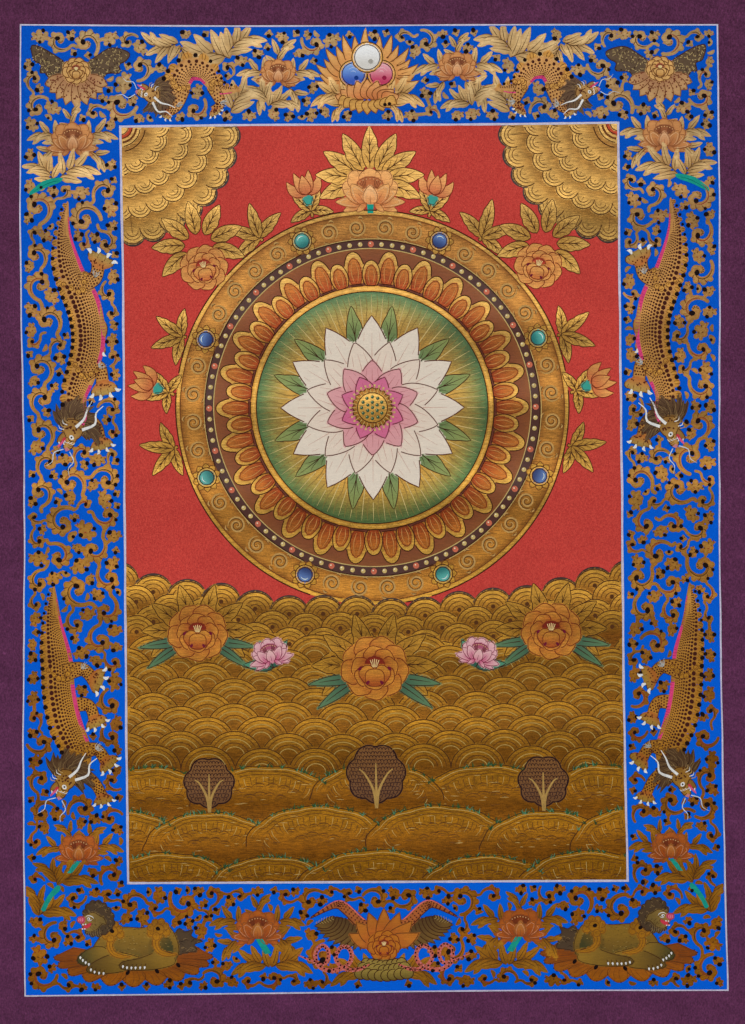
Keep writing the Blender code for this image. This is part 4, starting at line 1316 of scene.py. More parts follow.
def border_motifs(field, ink, rng):
    def lay(m, x, y, mirror=False, scale=1.0, angle=0.0):
        m.stamp(field, ink, x, y, scale, angle, mirror)

    # top middle
    m = Motif()
    jewels(m, rng)
    lay(m, 371, 76)
    # flowers of the top strip
    lotus_group(field, ink, 282, 72, 19, rng, 0.0,
                ((-10, 6, -60, 34, 4, 1.3, -0.1), (10, 6, 62, 34, 4, 1.2, 0.1), (0, -6, 8, 34, 3, 0.9, 0.0), (6, 14, 128, 32, 3, 1.0, 0.1), (-6, 14, -132, 34, 3, 1.0, -0.1)))
    lotus_group(field, ink, 461, 66, 20, rng, 0.0,
                ((-10, 4, -72, 36, 4, 1.2, -0.1), (10, 4, 70, 38, 4, 1.2, 0.1), (0, -8, 0, 30, 3, 1.0, 0.0), (8, 16, 122, 38, 4, 1.0, 0.1), (-8, 14, -125, 30, 3, 1.0, -0.1)),
                stem=[(-2.6, 10), (2.6, 10), (2.4, 22), (-1.4, 22)])
    for x, mir in ((228, False), (520, True)):
        m = Motif()
        spray(m, (6, 4), math.radians(-82), 58, 7, 1.3, 0.13, -0.10, leaf_tone(50), rng)
        spray(m, (4, -2), math.radians(48), 44, 6, 1.3, 0.14, 0.10, leaf_tone(50), rng)
        lay(m, x, 54, mir)
        m = Motif()
        spray(m, (-4, 6), math.radians(34), 46, 6, 1.2, 0.14, 0.12, leaf_tone(60), rng)
        lay(m, x + (10 if not mir else -10), 106, mir)
        m = Motif()
        spray(m, (0, 0), math.radians(-100), 40, 6, 1.3, 0.14, 0.12, leaf_tone(50), rng)
        spray(m, (2, 2), math.radians(150), 30, 5, 1.2, 0.14, -0.12, leaf_tone(50), rng)
        lay(m, x + (-46 if not mir else 46), 42, mir)
        m = Motif()
        spray(m, (0, 0), math.radians(-30), 32, 5, 1.3, 0.14, -0.12, leaf_tone(50), rng)
        spray(m, (0, 2), math.radians(70), 34, 5, 1.2, 0.14, 0.12, leaf_tone(50), rng)
        lay(m, x + (44 if not mir else -44), 104, mir)
    # small dragons and corner flowers, left then right
    for x0, mir in ((0.0, False), (743.0, True)):
        sx = -1 if mir else 1

        def at(x):
            return x if not mir else 743.0 - x

        m = Motif()
        path = [(66, 4), (44, 2), (30, -14), (14, -16), (2, 2), (-10, 16), (-22, 8)]
        width = [(0, 0.6), (0.2, 5.5), (0.45, 10.0), (0.72, 9.6), (1, 7.0)]
        legs = [dict(path=[(10, 2), (2, 20), (-8, 26)], aim=-2.6, tuft=1.2, size=0.95, width=5.4),
                dict(path=[(38, 0), (46, 16), (40, 24)], aim=2.6, tuft=1.6, size=0.95, width=5.2)]
        dragon(m, path, width, rng, legs, math.radians(-72), 1, 1, 1.22)
        lay(m, at(178), 86, mir)
        # corner: a blossom between two dark wings
        m = Motif()
        for k in (-1, 1):
            tip = 54 if k > 0 else 46
            wing = curve([(8 * k, -6), (20 * k, -14), (36 * k, -23), (tip * k, -22 + (4 if k > 0 else -2)), ((tip - 3) * k, -10), ((tip - 10) * k, -6), ((tip - 9) * k, 2), (31 * k, 3),
                          (26 * k, 11), (14 * k, 9), (6 * k, 6), (8 * k, -6)], 50)[:-1]
            m.shape(wing, (0.085, 0.048, 0.018), 0.3, INK, 0.8)
            lo, hi = wing.min(0), wing.max(0)
            for _ in range(210):
                c = rng.uniform(lo, hi)
                if inside(c, wing)[0]:
                    e = c + turn([(0, -1.9)], rng.uniform(0, 6.28))[0]
                    m.line([c, (c + e) / 2 + rng.uniform(-0.7, 0.7, 2), e], 0.62, (0.46, 0.33, 0.13) if rng.random() < 0.75 else (0.02, 0.008, 0.005), 2, None)
        for i in range(9):
            u = (i - 4) / 4
            a = math.pi - u * 1.25
            c = (12 * u, 8 - 2 * abs(u))
            q = round_petal(c, a, 27 - 7 * abs(u), 7.0, 0.10, 1.5 * u)
            m.shape(q, (0.34, 0.17, 0.075), 0.5, INK_SOFT, 0.7, shaded=(c, (c[0] + 24 * math.sin(a), c[1] - 24 * math.cos(a)), (0.50, 0.32, 0.14)))
            for _ in range(15):
                w0 = turn([(rng.uniform(-4.6, 4.6), -rng.uniform(3, 21))], a)[0] + c
                if inside(w0, q)[0]:
                    m.dot(w0[0], w0[1], 0.8, (0.17, 0.04, 0.02), 3, 6)
        peony(m, 14.5, (0.60, 0.41, 0.15), (0.47, 0.27, 0.07), INK_SOFT, eyes=False)
        lay(m, at(79), 70, mir)
        lotus_group(field, ink, at(75), 137, 23, rng, 0.0,
                    ((-12, 2, -64, 36, 4, 1.3, -0.12), (12, 2, 62, 36, 4, 1.3, 0.12), (0, -10, -6, 28, 3, 1.2, 0.0), (12, 12, 112, 32, 3, 0.9, 0.12), (-12, 10, -106, 32, 3, 0.9, -0.1)), mirror=mir)
        m = Motif()
        # The left spray is painted in the paler gold as painted sheen; its mirror on the right keeps the plain leaf
        # tone.
        spray(m, (0, 0), math.radians(60), 44, 6, 1.9, 0.16, 0.06, leaf_tone(160) if mir else LEAF_PAINTED_SHEEN, rng)
        spray(m, (-6, 4), math.radians(-40), 38, 6, 1.9, 0.16, -0.06, leaf_tone(160) if mir else LEAF_PAINTED_SHEEN, rng)
        m.patch(curve([(-30, 14), (-16, 3), (2, 0), (0, 5), (-14, 10), (-30, 18), (-30, 14)], 14)[:-1], TEAL, 2)
        m.line(curve([(-28, 15), (-12, 6), (0, 3)], 8), 0.5, (0.0, 0.10, 0.07), 3)
        lay(m, at(62), 176, mir)
        # the two long dragons of the side strip
        m = Motif()
        path = [(70, 200), (66, 232), (72, 268), (88, 306), (92, 340), (84, 372), (76, 396), (78, 414), (72, 428)]
        width = [(0, 0.6), (0.08, 4.0), (0.26, 10.5), (0.42, 13.0), (0.6, 12.5), (0.8, 10.5), (0.93, 8.0), (1, 7.0)]
        legs = [dict(path=[(82, 282), (96, 276), (100, 262)], aim=0.45, tuft=0.2, width=7.6, size=1.30),
                dict(path=[(88, 316), (102, 326), (98, 342)], aim=-2.6, tuft=0.9, width=6.6, size=1.20, behind=True),
                dict(path=[(84, 372), (99, 366), (103, 384)], aim=2.9, tuft=0.9, width=7.4, size=1.30),
                dict(path=[(76, 412), (95, 424), (100, 440)], aim=2.9, tuft=1.2, width=6.6, size=1.25, behind=True)]
        for p in legs:
            p["path"] = [(x - 71, y) for x, y in p["path"]]
        dragon(m, [(x - 71, y) for x, y in path], width, rng, legs, math.radians(204), 1, 1, 1.62)
        lay(m, at(71), 0, mir)
        m = Motif()
        path = [(52, 584), (52, 620), (58, 660), (60, 690), (66, 720), (76, 744), (78, 758), (72, 770), (64, 778)]
        width = [(0, 0.6), (0.1, 5.0), (0.35, 11.5), (0.5, 12.0), (0.7, 12.5), (0.88, 10.0), (1, 7.5)]
        legs = [dict(path=[(62, 672), (80, 668), (92, 678)], aim=1.9, tuft=0.5, width=7.4, size=1.25),
                dict(path=[(66, 704), (86, 704), (93, 718)], aim=2.7, tuft=0.9, width=6.6, size=1.20, behind=True),
                dict(path=[(76, 752), (94, 748), (104, 760)], aim=2.4, tuft=0.9, width=6.8, size=1.20),
                dict(path=[(74, 768), (92, 782), (100, 796)], aim=2.9, tuft=1.6, width=6.2, size=1.15, behind=True)]
        for p in legs:
            p["path"] = [(x - 70, y) for x, y in p["path"]]
        dragon(m, [(x - 70, y) for x, y in path], width, rng, legs, math.radians(206), 1, 1, 1.55)
        lay(m, at(70), 0, mir)
        # lower corner: flower on a leafy stem, lion on its bed of leaves
        lotus_group(field, ink, at(76), 848, 21, rng, 0.0,
                    ((-12, 2, -72, 32, 3, 0.9, -0.1), (12, 2, 66, 34, 4, 1.1, 0.1), (-6, -8, -24, 26, 3, 0.9, -0.1), (8, -6, 26, 26, 3, 0.9, 0.1)), mirror=mir,
                    stem=[(-4, 12), (2, 12), (-7, 24), (-12, 24)])
        m = Motif()
        spray(m, (0, 0), math.radians(62), 40, 5, 1.2, 0.16, 0.08, leaf_tone(880), rng)
        spray(m, (-2, 0), math.radians(-22), 34, 5, 1.3, 0.16, -0.06, leaf_tone(880), rng)
        m.patch(curve([(-18, 24), (-12, 12), (-2, 0), (2, 4), (-8, 14), (-14, 26), (-18, 24)], 12)[:-1], TEAL, 2)
        spray(m, (-20, 30), math.radians(66), 40, 5, 1.1, 0.16, 0.08, leaf_tone(900), rng)
        spray(m, (-20, 30), math.radians(-4), 36, 4, 0.8, 0.16, -0.04, leaf_tone(900), rng)
        lay(m, at(56), 884, mir)
        m = Motif()
        lion(m, rng)
        lay(m, at(128), 962, mir, 0.80)
    for x, mir, k in ((253, False, 1), (515, True, -1)):
        lotus_group(field, ink, x, 926, 23, rng, 0.0,
                    ((-14, 0, -62, 36, 4, 1.2, -0.12), (14, 0, 64, 36, 4, 1.1, 0.1), (0, -8, 4, 30, 3, 1.0, 0.0), (12, 12, 104, 38, 4, 0.9, 0.1), (-12, 12, -108, 34, 4, 0.9, -0.1)),
                    mirror=mir, stem=[(-2, 12), (5, 12), (14, 26), (7, 27)])
        m = Motif()
        spray(m, (0, 0), math.radians(-76), 42, 5, 1.1, 0.15, -0.08, leaf_tone(950), rng)
        spray(m, (2, 0), math.radians(74), 44, 5, 1.1, 0.15, 0.08, leaf_tone(950), rng)
        lay(m, x + 12 * k, 966, mir)
    m = Motif()
    wings(m, rng)
    lay(m, 379, 938)
    for sx in (-1, 1):
        m = Motif()
        knot_serpent(m, sx)
        lay(m, 379, 956)


def paint_border(seed=11):
    """The whole border: motifs first, then the vine over all the ground left between them."""
    rng = np.random.default_rng(seed)
    field = Field(OX0, OY0, OX1, OY1, 1.25)
    ink = Ink()
    border_motifs(field, ink, rng)
    # keep the motifs clear of the lines
    X, Y = np.meshgrid(field.xs, field.ys)
    rim = np.minimum(np.minimum(X - OX0, OX1 - X), np.minimum(Y - OY0, OY1 - Y)) - 1.4
    hole = np.maximum(np.maximum(IX0 - X, X - IX1), np.maximum(IY0 - Y, Y - IY1)) - 1.4
    field.f = np.minimum(field.f, np.minimum(rim, hole))
    fill_scrolls(field, ink, (OX0, OY0, OX1, IY0), rng, border_tone)
    fill_scrolls(field, ink, (OX0, IY1, OX1, OY1), rng, border_tone)
    fill_scrolls(field, ink, (OX0, OY0 + 20, IX0, OY1 - 20), rng, border_tone)
    fill_scrolls(field, ink, (IX1, OY0 + 20, OX1, OY1 - 20), rng, border_tone)
    field.f = np.minimum(field.f, np.minimum(rim, hole))
    edge = np.clip(field.f / 2.3, 0, 1)[..., None]
    field.c[..., :3] *= np.array((0.80, 0.70, 0.62)) * (1 - edge) + np.array((1.06, 1.08, 1.12)) * edge

    def allowed(p):
        x, y = p[:, 0], p[:, 1]
        outer = np.minimum(np.minimum(x - OX0, OX1 - x), np.minimum(y - OY0, OY1 - y)) > 2.0
        inner = np.maximum(np.maximum(IX0 - x, x - IX1), np.maximum(IY0 - y, y - IY1)) > 2.0
        return outer & inner

    ink.items = trimmed(ink.items, allowed)
    return field, ink
# ---------------------------------------------------------------- the centre panel

MX, MY, MR = 373.0, 408.0, 196.0       # middle and radius of the round ornament

GOLD = (0.430, 0.275, 0.070)
GOLD_LIGHT = (0.600, 0.425, 0.140)
GOLD_BROWN = (0.330, 0.185, 0.045)
GOLD_DEEP = (0.430, 0.235, 0.045)
FOOT_GOLD = (0.420, 0.225, 0.036)
RUST = (0.380, 0.105, 0.025)
EMBER = (0.470, 0.150, 0.035)
GRASS = (0.040, 0.120, 0.035)
NAVY = (0.010, 0.030, 0.120)
CREAM = (0.800, 0.690, 0.560)
BLUSH = (0.700, 0.360, 0.270)
PINK = (0.640, 0.130, 0.260)


class Ring:
    """A flat ring of colour, round and even: its mesh, and the colour at each radius and angle."""

    def __init__(self, r0, r1, colour, metal=1.0, steps=1, height=0, segments=192, cx=MX, cy=MY):
        a = np.linspace(0, 2 * math.pi, segments, endpoint=False)
        rr = np.linspace(r0, r1, steps + 1)
        R, A = np.meshgrid(rr, a, indexing="ij")
        self.verts = np.stack([cx + R * np.sin(A), cy - R * np.cos(A)], -1).reshape(-1, 2)
        col = colour(R, A) if callable(colour) else np.broadcast_to(np.asarray(colour, float), R.shape + (3,))
        self.cols = np.concatenate([col, np.full(R.shape + (1,), metal)], -1).reshape(-1, 4)
        i, j = np.meshgrid(np.arange(steps), np.arange(segments), indexing="ij")
        k = (j + 1) % segments
        self.faces = [np.stack([i * segments + j, (i + 1) * segments + j, (i + 1) * segments + k, i * segments + k], -1).reshape(-1, 4)]
        self.height = height


def blend(r, stops):
    """Colour along a radius from a short table of (radius, colour)."""
    xs = [s[0] for s in stops]
    return np.stack([np.interp(r, xs, [s[1][k] for s in stops]) for k in range(3)], -1)


def circle_line(ink, r, width, colour, height=2, cx=MX, cy=MY, n=150, wobble=0.25):
    a = np.linspace(0, 2 * math.pi, n + 1)
    rr = r + wobble * np.sin(5 * a + r)
    ink.line(np.stack([cx + rr * np.sin(a), cy - rr * np.cos(a)], 1), width, colour, height, None)


def acanthus(m, base, angle, length, width, bend, rng, colour=GOLD, light=GOLD_LIGHT, line=(0.085, 0.030, 0.010), metal=1.0, width_line=0.80):
    """A broad leaf with a rolled tip, three lobes a side and long curved veins."""
    n = 22
    t = np.linspace(0, 1, n)
    spine = np.stack([bend * t ** 1.7 * length, -t * length * (1 - 0.10 * t * abs(bend))], 1)
    nr = normals(spine)
    prof = np.sin(math.pi * t ** 0.80) ** 0.75
    notch = 1 + 0.16 * np.abs(np.sin(math.pi * 3.4 * t + 0.3)) - 0.06
    wl, wr = width * prof * notch, width * prof * (0.92 + 0.0 * t)
    if bend < 0:
        wl, wr = wr, wl
    wl[-1] = wr[-1] = 0
    left, right = spine + nr * wl[:, None], spine - nr * wr[:, None]
    P = turn(np.vstack([left, right[::-1][1:-1]]), angle) + np.asarray(base, float)
    sp = turn(spine, angle) + np.asarray(base, float)
    m.shape(P, colour, metal, line, width_line, shaded=(sp[0], sp[-1], light))
    m.line(sp[1:-1], width_line * 1.2, line, 2, (0.1, 0.6))
    for k in range(3):
        i = 3 + int(4.2 * k)
        for sgn, w in ((1, wl), (-1, wr)):
            q = spine[i + 5] + nr[i + 5] * sgn * w[i + 5] * 0.80
            mid = (spine[i] + q) / 2 + (spine[i + 5] - spine[i]) * 0.18
            m.line(curve(turn(np.array([spine[i], mid, q]), angle) + np.asarray(base, float), 7), width_line * 0.75, line, 2, (0, 0.7))


def leaf_spray(m, base, angle, length, n, spread, rng, width=0.16, colour=GOLD, light=GOLD_LIGHT, stem=0.0):
    """Broad leaves that part from a stem."""
    if stem:
        p = turn(np.array([(0, 0), (0.06 * stem, -0.5 * stem), (0, -stem)]), angle) + np.asarray(base, float)
        q = curve(p, 8)
        w = np.linspace(1.6, 1.1, 8)[:, None]
        m.shape(np.vstack([q + normals(q) * w, (q - normals(q) * w)[::-1]]), colour, 1.0, INK, 0.7)
        base = p[-1]
    for i in sorted(range(n), key=lambda i: -abs(i - (n - 1) / 2)):
        u = (i - (n - 1) / 2) / max((n - 1) / 2, 1)
        L = length * (1 - 0.26 * abs(u)) * rng.uniform(0.92, 1.06)
        acanthus(m, base, angle + u * spread / 2, L, L * width * (1.15 if abs(u) > 0.5 else 1.0), 0.34 * (u if u else rng.choice((-0.4, 0.4))), rng, colour, light)


def tulip(m, base, angle, size, rng, dark=(0.46, 0.135, 0.05), light=(0.62, 0.33, 0.12)):
    """A small cup of three pointed petals on a teal calyx."""
    s = size
    T = lambda p: turn(np.asarray(p, float) * s, angle) + np.asarray(base, float)
    m.shape(T([(-0.20, 0.05), (0.0, -0.35), (0.20, 0.05), (0.10, 0.30), (-0.10, 0.30)]), TEAL, 0.0, INK, 0.6)
    for a, L, w, b in ((-34, 1.0, 0.24, -0.20), (34, 1.0, 0.24, 0.20), (-15, 1.08, 0.22, -0.05), (15, 1.08, 0.22, 0.05), (0, 0.86, 0.25, 0.0)):
        q = petal_outline((0, 0), math.radians(a), L, w, 0.62, b)
        m.shape(T(q * (1, 1) + (0, -0.12)), dark, 0.6, (0.20, 0.03, 0.01), 0.75, shaded=(T([(0, -0.1)])[0], T([(math.sin(math.radians(a)), -math.cos(math.radians(a)))])[0], light))
        m.line(T(turn(np.array([(0, -0.30), (b * 0.5, -0.62 * L)]), math.radians(a))), 0.6, (0.24, 0.05, 0.02), 2)


def white_lotus(m, cx, cy, rng):
    """The open flower at the middle, seen from above: cream petals round a pink crown and a gold heart."""
    def petal(r0, r1, w, a, base, tip, line, width, veins):
        q = petal_outline((0, -r0), 0.0, r1 - r0, w, 0.86)
        P = turn(q, a) + (cx, cy)
        s0 = turn([(0, -r0)], a)[0] + (cx, cy)
        s1 = turn([(0, -(r0 + 0.62 * (r1 - r0)))], a)[0] + (cx, cy)
        m.shape(P, base, 0.0, line, width, shaded=(s0, s1, tip))
        for k in range(veins):
            u = (k - (veins - 1) / 2) / max((veins - 1) / 2, 1)
            p = turn(np.array([(0, -(r0 + 0.1 * (r1 - r0))), (u * w * 0.5, -(r0 + 0.42 * (r1 - r0))), (u * w * 0.42, -(r0 + 0.78 * (r1 - r0)))]), a) + (cx, cy)
            m.line(curve(p, 8), 0.55, mix(base, (0.35, 0.08, 0.05), 0.45), 2, (0.1, 0.7))

    ink = (0.11, 0.022, 0.012)
    for i in range(12):
        a = 2 * math.pi * (i + 0.5) / 12
        acanthus(m, (cx + 40 * math.sin(a), cy - 40 * math.cos(a)), a, 64, 9.5, 0.10 if i % 2 else -0.10, rng, (0.045, 0.165, 0.085), (0.25, 0.32, 0.10), INK, 0.3)
    for i in range(12):
        petal(14, 92, 18.0, 2 * math.pi * i / 12, (0.62, 0.27, 0.19), CREAM, ink, 1.0, 3)
    for i in range(12):
        petal(12, 68, 14.5, 2 * math.pi * (i + 0.5) / 12, (0.60, 0.22, 0.17), (0.80, 0.66, 0.53), ink, 0.9, 3)
    for i in range(10):
        petal(9, 48, 12.5, 2 * math.pi * i / 10, (0.42, 0.045, 0.10), (0.72, 0.33, 0.34), ink, 0.85, 3)
    for i in range(8):
        petal(5, 33, 10.0, 2 * math.pi * (i + 0.5) / 8, (0.40, 0.03, 0.09), PINK, ink, 0.8, 1)
    t = np.linspace(0, 2 * math.pi, 40, endpoint=False)
    circ = np.stack([np.sin(t), -np.cos(t)], 1)
    m.shape(circ * 19.5 * (1 + 0.05 * np.cos(20 * t))[:, None] + (cx, cy), (0.33, 0.17, 0.04), 0.8, INK, 0.9)
    m.shape(circ * 15.0 + (cx, cy), (0.50, 0.32, 0.09), 1.0, INK, 0.9, shaded=((cx, cy + 14), (cx, cy - 14), (0.66, 0.49, 0.19)))
    for r, n in ((0.1, 1), (5.4, 6), (10.8, 12)):
        for k in range(n):
            a = 2 * math.pi * k / n
            m.dot(cx + r * math.sin(a), cy - r * math.cos(a), 1.7, (0.025, 0.09, 0.055), 3, 9)
            m.dot(cx + r * math.sin(a) - 0.5, cy - r * math.cos(a) - 0.5, 0.6, (0.45, 0.55, 0.25), 4, 6)
    for k in range(30):
        a = 2 * math.pi * (k + 0.5) / 30
        p = [(cx + 16 * math.sin(a), cy - 16 * math.cos(a)), (cx + 22.5 * math.sin(a), cy - 22.5 * math.cos(a))]
        m.line(p, 0.6, (0.62, 0.42, 0.12), 2, None)
        m.dot(p[1][0], p[1][1], 1.15, (0.66, 0.47, 0.15), 3, 7)


def medallion(field, ink, rings, rng):
    R = MR
    brown = lambda r, a: blend(r, ((168, (0.260, 0.120, 0.034)), (176, (0.450, 0.245, 0.070)), (186, (0.450, 0.245, 0.070)), (193, (0.240, 0.108, 0.028))))
    rings.append(Ring(192.5, 197.0, lambda r, a: blend(r, ((192, GOLD_DEEP), (195, GOLD_LIGHT), (197, GOLD))), 1.0, 3, 0))
    rings.append(Ring(168, 192.5, brown, 1.0, 8, 0))
    rings.append(Ring(159, 168, (0.070, 0.016, 0.008), 0.0, 2, 0))
    rings.append(Ring(122, 159, lambda r, a: blend(r, ((122, (0.135, 0.026, 0.010)), (140, (0.195, 0.046, 0.014)), (159, (0.250, 0.082, 0.020)))), 0.35, 10, 0))
    rings.append(Ring(116, 122, lambda r, a: blend(r, ((116, GOLD_DEEP), (119, GOLD_LIGHT), (122, GOLD_DEEP))), 1.0, 4, 0))
    halo = ((0, (0.56, 0.38, 0.11)), (76, (0.54, 0.36, 0.10)), (92, (0.42, 0.33, 0.11)), (102, (0.26, 0.29, 0.12)), (110, (0.13, 0.24, 0.13)), (116, (0.075, 0.190, 0.115)))
    rings.append(Ring(1.0, 116, lambda r, a: blend(r, halo), 0.75, 30, 0))
    for r, w, c in ((197, 1.1, INK), (192.5, 0.9, INK_SOFT), (168, 1.0, INK), (159, 0.9, (0.60, 0.42, 0.14)), (122, 1.0, INK), (116, 0.9, INK), (168.9, 0.7, (0.60, 0.42, 0.14))):
        circle_line(ink, r, w, c, 2, n=190)
    # beads
    for k in range(96):
        a = 2 * math.pi * k / 96
        rr = 163.5
        ink.dot(MX + rr * math.sin(a), MY - rr * math.cos(a), 2.35 if k % 4 else 3.1, (0.62, 0.44, 0.15) if k % 4 else (0.60, 0.14, 0.07), 3, 10)
        ink.dot(MX + rr * math.sin(a) - 0.7, MY - rr * math.cos(a) - 0.8, 0.8, (0.88, 0.78, 0.55), 4, 6)
    # spirals of the outer ring
    units = 40
    for k in range(units):
        a = 2 * math.pi * (k + 0.5) / units
        sgn = 1 if k % 2 else -1
        if k % 5 == 2:
            continue
        c = np.array([MX + 180.0 * math.sin(a), MY - 180.0 * math.cos(a)])
        t = np.linspace(0, 1, 26)
        r = 8.6 * (1 - t) ** 0.85 + 0.5
        b = sgn * (t * 3.9 * math.pi) + a + (0.6 if sgn > 0 else math.pi - 0.6)
        p = c + np.stack([r * np.sin(b), -r * np.cos(b)], 1)
        ink.line(p, 1.9, (0.53, 0.300, 0.085), 2, (0.1, 0.5))
        ink.line(p + normals(p) * 1.25 * sgn, 0.8, (0.085, 0.030, 0.010), 3, (0.1, 0.5))
        for q in (-1, 1):
            e = c + turn([(sgn * 7.4 * q, q * sgn * -8.4)], a)[0]
            f = c + turn([(sgn * 2.2 * q, q * sgn * -9.8)], a)[0]
            ink.line(curve([f, (e + f) / 2 + turn([(0, -1.6 * q * sgn)], a)[0], e], 7), 1.6, (0.53, 0.300, 0.085), 2)
            ink.line(curve([f + 0.8, (e + f) / 2 + turn([(0, -0.4 * q * sgn)], a)[0], e + 0.8], 7), 0.6, (0.085, 0.030, 0.010), 3)
    # eight round stones set in the outer ring
    for k in range(8):
        a = 2 * math.pi * (k + 0.5) / 8
        c = (MX + 180.3 * math.sin(a), MY - 180.3 * math.cos(a))
        m = Motif()
        t = np.linspace(0, 2 * math.pi, 26, endpoint=False)
        circ = np.stack([np.cos(t), np.sin(t)], 1)
        for i in range(10):
            b = 2 * math.pi * i / 10
            m.shape(petal_outline((9.0 * math.sin(b), -9.0 * math.cos(b)), b, 5.4, 3.3, 0.7), GOLD, 1.0, INK_SOFT, 0.7)
        m.shape(circ * 9.8, (0.55, 0.37, 0.11), 1.0, INK, 0.9)
        deep, lit = ((0.004, 0.16, 0.15), (0.10, 0.46, 0.40)) if k % 2 else ((0.008, 0.03, 0.15), (0.10, 0.20, 0.48))
        m.shape(circ * 7.2, deep, 0.0, INK, 0.9, shaded=((0, 6), (0, -6), lit))
        m.line(np.stack([4.6 * np.cos(np.linspace(3.6, 5.4, 8)), 4.6 * np.sin(np.linspace(3.6, 5.4, 8))], 1), 0.9, (0.75, 0.85, 0.80), 4)
        m.stamp(field, ink, c[0], c[1], 1.0, a)
    # two rows of petals, their tips outwards
    m = Motif()
    for row, (n, r0, r1, w) in enumerate(((26, 124, 157.5, 10.2), (26, 122, 148, 9.0))):
        for i in range(n):
            a = 2 * math.pi * (i + (0.5 if row == 0 else 0.0)) / n
            for q, (c0, c1, sh) in enumerate((((0.38, 0.20, 0.045), GOLD_LIGHT, 1.0), ((0.29, 0.062, 0.018), (0.43, 0.175, 0.045), 0.66))):
                t = np.linspace(0, 1, 13)
                ww = w * sh * np.clip(np.sin(math.pi * (0.10 + 0.86 * t) ** 0.9), 0, 1) ** 0.55
                ww[-1] = 0
                L = (r1 - r0) * (1.0 if q == 0 else 0.80)
                P = np.vstack([np.stack([-ww, -t * L], 1), np.stack([ww, -t * L], 1)[::-1][1:]]) + (0, -r0)
                s0, s1 = turn([(0, -r0)], a)[0], turn([(0, -r0 - L)], a)[0]
                m.shape(turn(P, a), c0, 0.9, INK if q == 0 else (0.16, 0.02, 0.01), 0.95 if q == 0 else 0.7, shaded=(s0, s1, c1))
            for u in (-0.35, 0.35):
                p = turn(np.array([(u * w * 0.5, -r0 - 2), (u * w, -r0 - 0.4 * (r1 - r0)), (u * w * 0.4, -r0 - 0.72 * (r1 - r0))]), a)
                m.line(curve(p, 7), 0.6, (0.62, 0.30, 0.08), 2, (0.2, 0.6))
    m.stamp(field, ink, MX, MY)
    # rays of the disc
    for k in range(120):
        a = 2 * math.pi * k / 120
        t = np.linspace(62, 113.5, 12)
        wav = 0.9 * np.sin((t - 62) / 5.2) * (1 if k % 2 else 0)
        p = np.stack([MX + t * np.sin(a) + wav * np.cos(a), MY - t * np.cos(a) + wav * np.sin(a)], 1)
        ink.line(p, 0.75, (0.30, 0.19, 0.05) if k % 2 else (0.66, 0.50, 0.20), 2, (0, 0.3))
    m = Motif()
    white_lotus(m, 0, 0, rng)
    m.stamp(field, ink, MX, MY)


def around(field, ink, rng):
    """Leaves and flowers on the red ground round the ornament."""
    def at(angle, r):
        a = math.radians(angle)
        return MX + r * math.sin(a), MY - r * math.cos(a)

    for side in (-1, 1):
        for angle, what in ((17, "bud"), (33, "spray"), (50, "bloom"), (69, "spray"), (86, "bud"), (101, "spray")):
            x, y = at(angle * side, MR + 3)
            m = Motif()
            a = math.radians(angle * side)
            if what == "spray":
                leaf_spray(m, (0, 0), 0.20 * side, 42 if angle < 60 else 38, 4, 2.3, rng, 0.17, stem=4)
                m.stamp(field, ink, x, y, 1.0, a)
            elif what == "bud":
                leaf_spray(m, (0, 0), 0.0, 30, 4, 3.0, rng, 0.19, stem=6)
                tulip(m, (0, -20), 0.0, 24, rng)
                m.stamp(field, ink, x, y, 1.0, a * 0.8)
            else:
                for k in range(7):
                    u = (k - 3) / 3
                    acanthus(m, (14 * math.sin(1.9 * u), -22 - 12 * math.cos(1.9 * u)), 1.9 * u, 34, 7.6, 0.2 * u, rng)
                peony(m, 25, (0.64, 0.36, 0.12), (0.50, 0.17, 0.05), (0.20, 0.035, 0.012), (0.36, 0.04, 0.02))
                m.stamp(field, ink, x + 20 * math.sin(a), y - 20 * math.cos(a), 1.0, a * 0.25)
    m = Motif()
    for k in range(9):
        u = (k - 4) / 4
        acanthus(m, (16 * math.sin(1.75 * u), -8 - 12 * math.cos(1.75 * u)), 1.75 * u, 44 - 6 * abs(u), 8.6, 0.22 * u, rng)
    lotus(m, 30, (0.66, 0.38, 0.14), (0.50, 0.17, 0.05), heart=True)
    m.patch([(-3.4, 15), (3.4, 15), (2.8, 24), (-2.8, 24)], TEAL, 3)
    m.stamp(field, ink, MX, MY - MR - 22)


